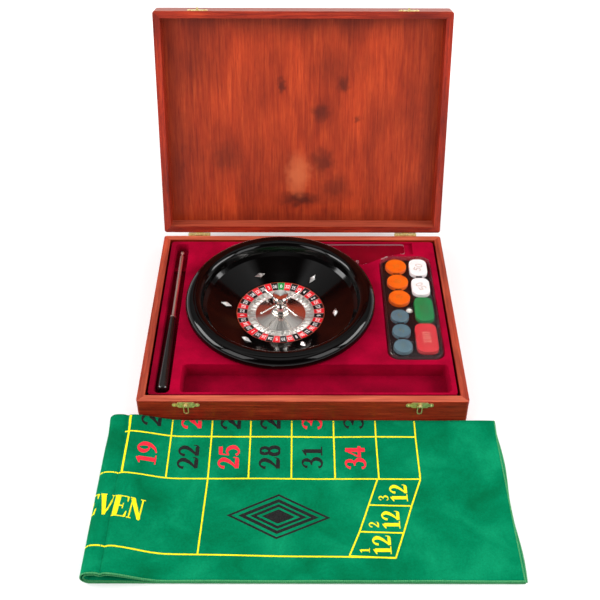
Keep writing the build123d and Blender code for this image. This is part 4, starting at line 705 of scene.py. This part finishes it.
# ---- layout cloth ----------------------------------------------------------------------------
# A wool-mix felt layout, folded in half towards the user and again from the left, so four plies
# lie in front of the case. The left fold is soft and stands up as a roll with an open mouth.
RIGHT, FRONT, BACK = 245.0, -392.3, -166.6
PLY, THICK = 1.3, 0.8                     # from ply to ply with a hem between, and the felt itself
UPPER, SLACK = 2.5 * PLY, 0.15            # the upper pair's middle, and what keeps it off the lower
ROLL_HIGH, ROLL_START, ROLL_END, ROLL_REACH = 17.5, -150.0, -234.5, 8.5
CREST_IN, CLIMB = 12, 1.15                # from the roll's end to its crest, and how late it climbs
CREASE_AT, CREASE_DEEP, CREASE_WIDE = -222.0, 2.8, 3.4
BACK_HIGH, BACK_RUN = 4.6, 30.0           # the back fold's bulge, and how far it reaches forward
MOUTH_HIGH, MOUTH_RUN = 1.1, 60           # how far the roll's plies part in front of the back fold
BACK_SINK = 0.18                          # the share that the roll loses towards the back
PEEK, PEEK_WAVE, PEEK_RUN = 1.6, 21, 60   # how far the lower plies show past the right end
TOP_STEP, LOW_STEP, FOLD_STEPS = 2.5, 4, 24      # the middle line's points: above, below, round the end


def ease(t):
    """0 to 1 with level ends."""
    t = min(max(t, 0.0), 1.0)
    return t * t * (3 - 2 * t)


def top_height(x):
    """Height of the upper pair of plies' middle: level, then up the roll with a slack crease near its crest."""
    climb = ease((ROLL_START - x) / (ROLL_START - ROLL_END - CREST_IN)) ** CLIMB
    crease = CREASE_DEEP * exp(-((x - CREASE_AT) / CREASE_WIDE) ** 2)
    return UPPER + SLACK + (ROLL_HIGH - UPPER) * climb - crease


def hairpin():
    """The folded cloth's middle line, seen from the front, and the length of cloth up to each of its points.
    It runs from the right end over the roll and back below."""
    long = RIGHT - ROLL_END
    line = [(x, top_height(x)) for x in [RIGHT - k * TOP_STEP for k in range(int(long / TOP_STEP))]]
    high, low = top_height(ROLL_END), PLY
    middle, half = (high + low) / 2, (high - low) / 2
    turns = [pi * k / FOLD_STEPS for k in range(FOLD_STEPS + 1)]
    line += [(ROLL_END - ROLL_REACH * sin(a), middle + half * cos(a)) for a in turns]
    line += [(ROLL_END + k * LOW_STEP, PLY) for k in range(1, int(long / LOW_STEP) + 1)] + [(RIGHT, PLY)]
    lengths = [0.0]
    for (x0, z0), (x1, z1) in zip(line, line[1:]):
        lengths.append(lengths[-1] + hypot(x1 - x0, z1 - z0))
    return line, lengths


MIDDLE_LINE, MIDDLE_LENGTH = hairpin()
CLOTH_LONG = MIDDLE_LENGTH[-1]
CLOTH_HALF = BACK - FRONT
CLOTH_WIDE = 2 * CLOTH_HALF


def along_hairpin(s):
    """Point and outward direction of the middle line at a length from the right end."""
    low, high = 0, len(MIDDLE_LENGTH) - 1
    while high - low > 1:
        half = (low + high) // 2
        low, high = (half, high) if MIDDLE_LENGTH[half] <= s else (low, half)
    (x0, z0), (x1, z1) = MIDDLE_LINE[low], MIDDLE_LINE[high]
    step = MIDDLE_LENGTH[high] - MIDDLE_LENGTH[low]
    t = (s - MIDDLE_LENGTH[low]) / step
    dx, dz = (x1 - x0) / step, (z1 - z0) / step
    return x0 + (x1 - x0) * t, z0 + (z1 - z0) * t, dz, -dx


def waves(x, y):
    """Low, broad waves of slack in the felt, mostly above level."""
    return 0.45 + 0.45 * sin(x / 47 + y / 90) * sin(y / 38 + 1.3) + 0.25 * sin(x / 19 - y / 61)


def on_cloth(s, t, out=0.0):
    """A point of the folded cloth: s from the right end round the left fold, t from the front hem round the back
    fold, and out towards the side that is printed."""
    x, z, nx, nz = along_hairpin(min(max(s, 0.0), CLOTH_LONG))
    upper = ease((nz + 1) / 2)
    in_roll = ease((ROLL_START - x) / (ROLL_START - ROLL_END))
    depth = min(t, CLOTH_WIDE - t)
    y = FRONT + depth
    bulge = BACK_HIGH * ease((y - BACK + BACK_RUN) / BACK_RUN) * upper
    half_gap = PLY / 2 + MOUTH_HIGH * in_roll * ease((BACK - y) / MOUTH_RUN) + bulge / 2
    turn = min(max((t - CLOTH_HALF) / max(half_gap * pi / 2, 0.1), -1.0), 1.0)
    side = -sin(turn * pi / 2)
    y = min(y, BACK - half_gap) if abs(turn) == 1.0 else BACK - half_gap + half_gap * cos(turn * pi / 2)
    soft = 1 - BACK_SINK * in_roll * ease((y - FRONT) / CLOTH_HALF)
    lifted = MOUTH_HIGH * in_roll * ease((BACK - y) / MOUTH_RUN)
    z = PLY + (z - PLY) * soft + (bulge / 2 + waves(x, y)) * upper + lifted * (1 - upper)
    reach = side * half_gap + out
    peek = PEEK * (1 - side) / 2 * (1 + sin(y / PEEK_WAVE)) * ease(1 - s / PEEK_RUN)
    return x + peek + nx * reach, y, z + nz * reach


def steps_between(stops):
    """Places from first to last with a step of its own in each stretch: (end, step) pairs after the start."""
    places = [stops[0]]
    for end, step in stops[1:]:
        start = places[-1]
        count = max(1, ceil((end - start) / step))
        places += [start + (end - start) * (k + 1) / count for k in range(count)]
    return places


roll_begins = RIGHT - ROLL_START
across = steps_between([0.0, (roll_begins, 7), (roll_begins + 70, 3), (roll_begins + 130, 1.2), (CLOTH_LONG, 7)])
deep = steps_between([
    0.0, (CLOTH_HALF - BACK_RUN, 6), (CLOTH_HALF - 8, 3), (CLOTH_HALF + 8, 0.7), (CLOTH_HALF + BACK_RUN, 3),
    (CLOTH_WIDE, 6),
])
points = [Vector(on_cloth(s, t)) / 1000 for t in deep for s in across]
row = len(across)
faces = [
    (k * row + j, k * row + j + 1, (k + 1) * row + j + 1, (k + 1) * row + j)
    for k in range(len(deep) - 1)
    for j in range(row - 1)
]
felt, tree, shader = finish_of(
    "green_wool_felt", Roughness=0.95, Sheen_Weight=0.04, Sheen_Roughness=0.5, Sheen_Tint="#60F0B0",
    Specular_IOR_Level=0.03,
)
place = add(tree, "TexCoord").outputs["Object"]
nap = add(tree, "TexNoise", place, Scale=per_metre(60), Detail=4.0, Roughness=0.6, Distortion=0.4)
fluff = add(tree, "TexNoise", place, Scale=per_metre(2.2), Detail=4.0, Roughness=0.7)
fibres = add(tree, "TexNoise", place, Scale=per_metre(0.7), Detail=2.0)
body = add(tree, "ValToRGB", nap, stops=[(0.3, "#006A42"), (0.7, "#0A9062"), (0.5, "#007C52")])
speck = add(tree, "ValToRGB", fluff, stops=[(0.3, "#D0D6D2"), (0.65, "#FFFFFF")])
feed(shader, "Base Color", add(tree, "MixRGB", 0.7, body, speck, blend_type="MULTIPLY"))
feed(shader, "Normal", add(tree, "Bump", 0.5, 0.0005, Height=add(tree, "Math", fluff, fibres, operation="ADD")))
felt_cloth = meshed("layout_felt", points, faces, felt)
felt_cloth.data.shade_smooth()
thicken = felt_cloth.modifiers.new("felt", "SOLIDIFY")
thicken.thickness, thicken.offset = THICK / 1000, 0.0
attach(felt_cloth, "layout")
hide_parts("layout_cloth")


# ---- hem -------------------------------------------------------------------------------------
# The felt's four edges are overlocked in a lighter green thread, so every ply shows a pale
# ribbed edge at the front and at the right.
HEM_STEP, STITCH_LONG, STITCH_DEEP = 0.8, 2.4, 0.13
HEM_HALF_WIDE, HEM_HALF_THICK, HEM_IN = 1.1, 0.56, 0.8
HEM_CORNERS = 8
along = steps_between([0.0, (CLOTH_LONG, HEM_STEP)])
up = steps_between([0.0, (CLOTH_WIDE, HEM_STEP)])
path = [(s, 0.0) for s in along] + [(CLOTH_LONG, t) for t in up]
path += [(s, CLOTH_WIDE) for s in reversed(along)] + [(0.0, t) for t in reversed(up)]
points, faces = [], []
for k, (s, t) in enumerate(path):
    here = Vector(on_cloth(s, t))
    over = (Vector(on_cloth(s, t, 1.0)) - here).normalized()
    inside = Vector(on_cloth(min(max(s, 3.0), CLOTH_LONG - 3), min(max(t, 3.0), CLOTH_WIDE - 3)))
    inside = (inside - here) - (inside - here).dot(over) * over
    off = -inside.normalized()
    stitch = 1 + STITCH_DEEP * sin(k * HEM_STEP / STITCH_LONG * 2 * pi)
    for corner in range(HEM_CORNERS):
        a = corner * 2 * pi / HEM_CORNERS
        outward = off * (HEM_HALF_WIDE * stitch * cos(a) - HEM_IN)
        points.append((here + outward + over * HEM_HALF_THICK * stitch * sin(a)) / 1000)
for k in range(len(path)):
    for corner in range(HEM_CORNERS):
        start, onward = k * HEM_CORNERS, (k + 1) % len(path) * HEM_CORNERS
        beside = (corner + 1) % HEM_CORNERS
        faces.append((start + corner, start + beside, onward + beside, onward + corner))
thread, tree, shader = finish_of("overlock_thread", Roughness=0.85, Specular_IOR_Level=0.1)
twist = add(tree, "TexNoise", add(tree, "TexCoord").outputs["Object"], Scale=per_metre(1.2), Detail=3.0)
feed(shader, "Base Color", add(tree, "ValToRGB", twist, stops=[(0.3, "#2A7E4C"), (0.7, "#58A46C")]))
hem = meshed("layout_hem", points, faces, thread)
hem.data.shade_smooth()
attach(hem, "layout")


# ---- layout printing -------------------------------------------------------------------------
# Screen-printed with one pass each of yellow, black and red: the grid, the numbers, the dozens,
# a word that is plain play and a nested lozenge. The ink sits in the pile and breaks up at its edges.
def ink(name, dark, light):
    """Printing ink on felt."""
    made, tree, shader = finish_of(name, Roughness=0.9, Specular_IOR_Level=0.05)
    place = add(tree, "TexCoord").outputs["Object"]
    nap = add(tree, "TexNoise", place, Scale=per_metre(1.4), Detail=4.0, Roughness=0.7)
    feed(shader, "Base Color", add(tree, "ValToRGB", nap, stops=[(0.3, dark), (0.62, light)]))
    feed(shader, "Normal", add(tree, "Bump", 0.3, 0.0003, Height=nap))
    return made


yellow_ink = ink("yellow_screen_ink", "#DCD010", "#FBF22A")
black_ink = ink("black_screen_ink", "#141414", "#2A2A2A")
red_ink = ink("red_screen_ink", "#D81E30", "#F83446")
LINE, LINE_STEP, INK_PROUD = 1.9, 3, 0.12
COLUMNS = [-219, -166, -115, -66, -14, 39, 92, 142]        # where the lines across the rows are
ROW_FAR, ROW_NEAR, GRID_FRONT, GRID_LEFT = -191.5, -255.5, -360.0, -252


def on_print(x, y, lift):
    """A printed point, by where it would be on the flat cloth."""
    return on_cloth(RIGHT - x, y - FRONT, THICK / 2 + INK_PROUD + lift)


def ruled(x0, y0, x1, y1, width=LINE):
    """A ruled line as a stroke with a point every few millimetres."""
    count = max(2, ceil(hypot(x1 - x0, y1 - y0) / LINE_STEP))
    return [(x0 + (x1 - x0) * k / count, y0 + (y1 - y0) * k / count, width) for k in range(count + 1)], False


BACK_OF_PRINT = BACK + 2
lines = [ruled(x, ROW_NEAR, x, BACK_OF_PRINT) for x in COLUMNS]
lines += [
    ruled(-226, ROW_FAR, COLUMNS[-1], ROW_FAR), ruled(GRID_LEFT, ROW_NEAR, COLUMNS[-1], ROW_NEAR),
    ruled(GRID_LEFT, GRID_FRONT + 3, 105, GRID_FRONT - 3), ruled(-115, ROW_NEAR, -119, GRID_FRONT + 1.5),
]
grid = printed("print_grid", lines, on_print, yellow_ink)
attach(grid, "layout")


def turned_strokes(strokes, x0, y0, turn):
    """Strokes turned and moved to their place on the cloth."""
    c, s = cos(radians(turn)), sin(radians(turn))
    return [([(x0 + x * c - y * s, y0 + x * s + y * c, w) for x, y, w in run], close) for run, close in strokes]


NEAR_ROW = [(19, red_ink), (22, black_ink), (25, red_ink), (28, black_ink), (31, black_ink), (34, red_ink)]
FAR_ROW = [(20, black_ink), (23, red_ink), (26, black_ink), (29, black_ink), (32, red_ink), (35, black_ink)]
for row_y, numbers in ((-223, NEAR_ROW), (-163, FAR_ROW)):
    for k, (number, colour) in enumerate(numbers):
        middle = (COLUMNS[k] + COLUMNS[k + 1]) / 2 - 1
        strokes = turned_strokes(strokes_of(str(number), 25, spread=1.06, bold=1.2), middle, row_y, 90)
        number_print = printed(f"print_{number}", strokes, on_print, colour)
        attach(number_print, "layout")
letters = turned_strokes(strokes_of("EVEN", 29, spread=0.71, bold=0.92), -222, -303, -5)
word = printed("print_even", letters, on_print, yellow_ink)
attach(word, "layout")

DOZENS = [           # left and right ends of the lines between the dozens, from the far one
    ((90, -256), (142, -256)), ((77.5, -293), (128, -294)),
    ((65, -329.5), (115.5, -331)), ((52, -361), (104, -363.5)),
]
DOZEN_SIGNS = [      # which dozen, where its sign is, and where the 12 is
    ("3", (95.5, -283), (114, -276)), ("2", (82, -320), (102, -313.5)), ("1", (69.5, -354), (89.5, -347)),
]
marks = [ruled(*DOZENS[k][side], *DOZENS[k + 1][side]) for k in range(3) for side in (0, 1)]
marks += [ruled(*left, *right) for left, right in DOZENS[1:]]
for number, near, far in DOZEN_SIGNS:
    marks += turned_strokes(strokes_of(number, 11.5, spread=1.0), *near, 90)
    marks += turned_strokes(strokes_of("12", 20.5, spread=0.95, bold=1.1), *far, 90)
dozens = printed("print_dozens", marks, on_print, yellow_ink)
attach(dozens, "layout")

LOZENGE = [(0.0, 0.32), (0.42, 0.545), (0.63, 0.775), (0.91, 1.0)]     # inner and outer share of each ring
LOZENGE_MIDDLE, LOZENGE_STEPS = (-28.7, -308.8), 12
CORNERS = [(-60.6, 1.5), (0, 31), (60.8, -2), (-2, -30)]               # from its middle
points, faces = [], []
for inner, outer in LOZENGE:
    for a, b in zip(CORNERS, CORNERS[1:] + CORNERS[:1]):
        first = len(points)
        for k in range(LOZENGE_STEPS + 1):
            x, y = (p + (q - p) * k / LOZENGE_STEPS for p, q in zip(a, b))
            for share in (inner, (inner + outer) / 2, outer):
                spot = on_print(LOZENGE_MIDDLE[0] + x * share, LOZENGE_MIDDLE[1] + y * share, 0.0)
                points.append(Vector(spot) / 1000)
        for k in range(LOZENGE_STEPS):
            for column in (0, 1):
                corner = first + 3 * k + column
                faces.append((corner, corner + 1, corner + 4, corner + 3))
lozenge = meshed("print_lozenge", points, faces, black_ink)
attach(lozenge, "layout")
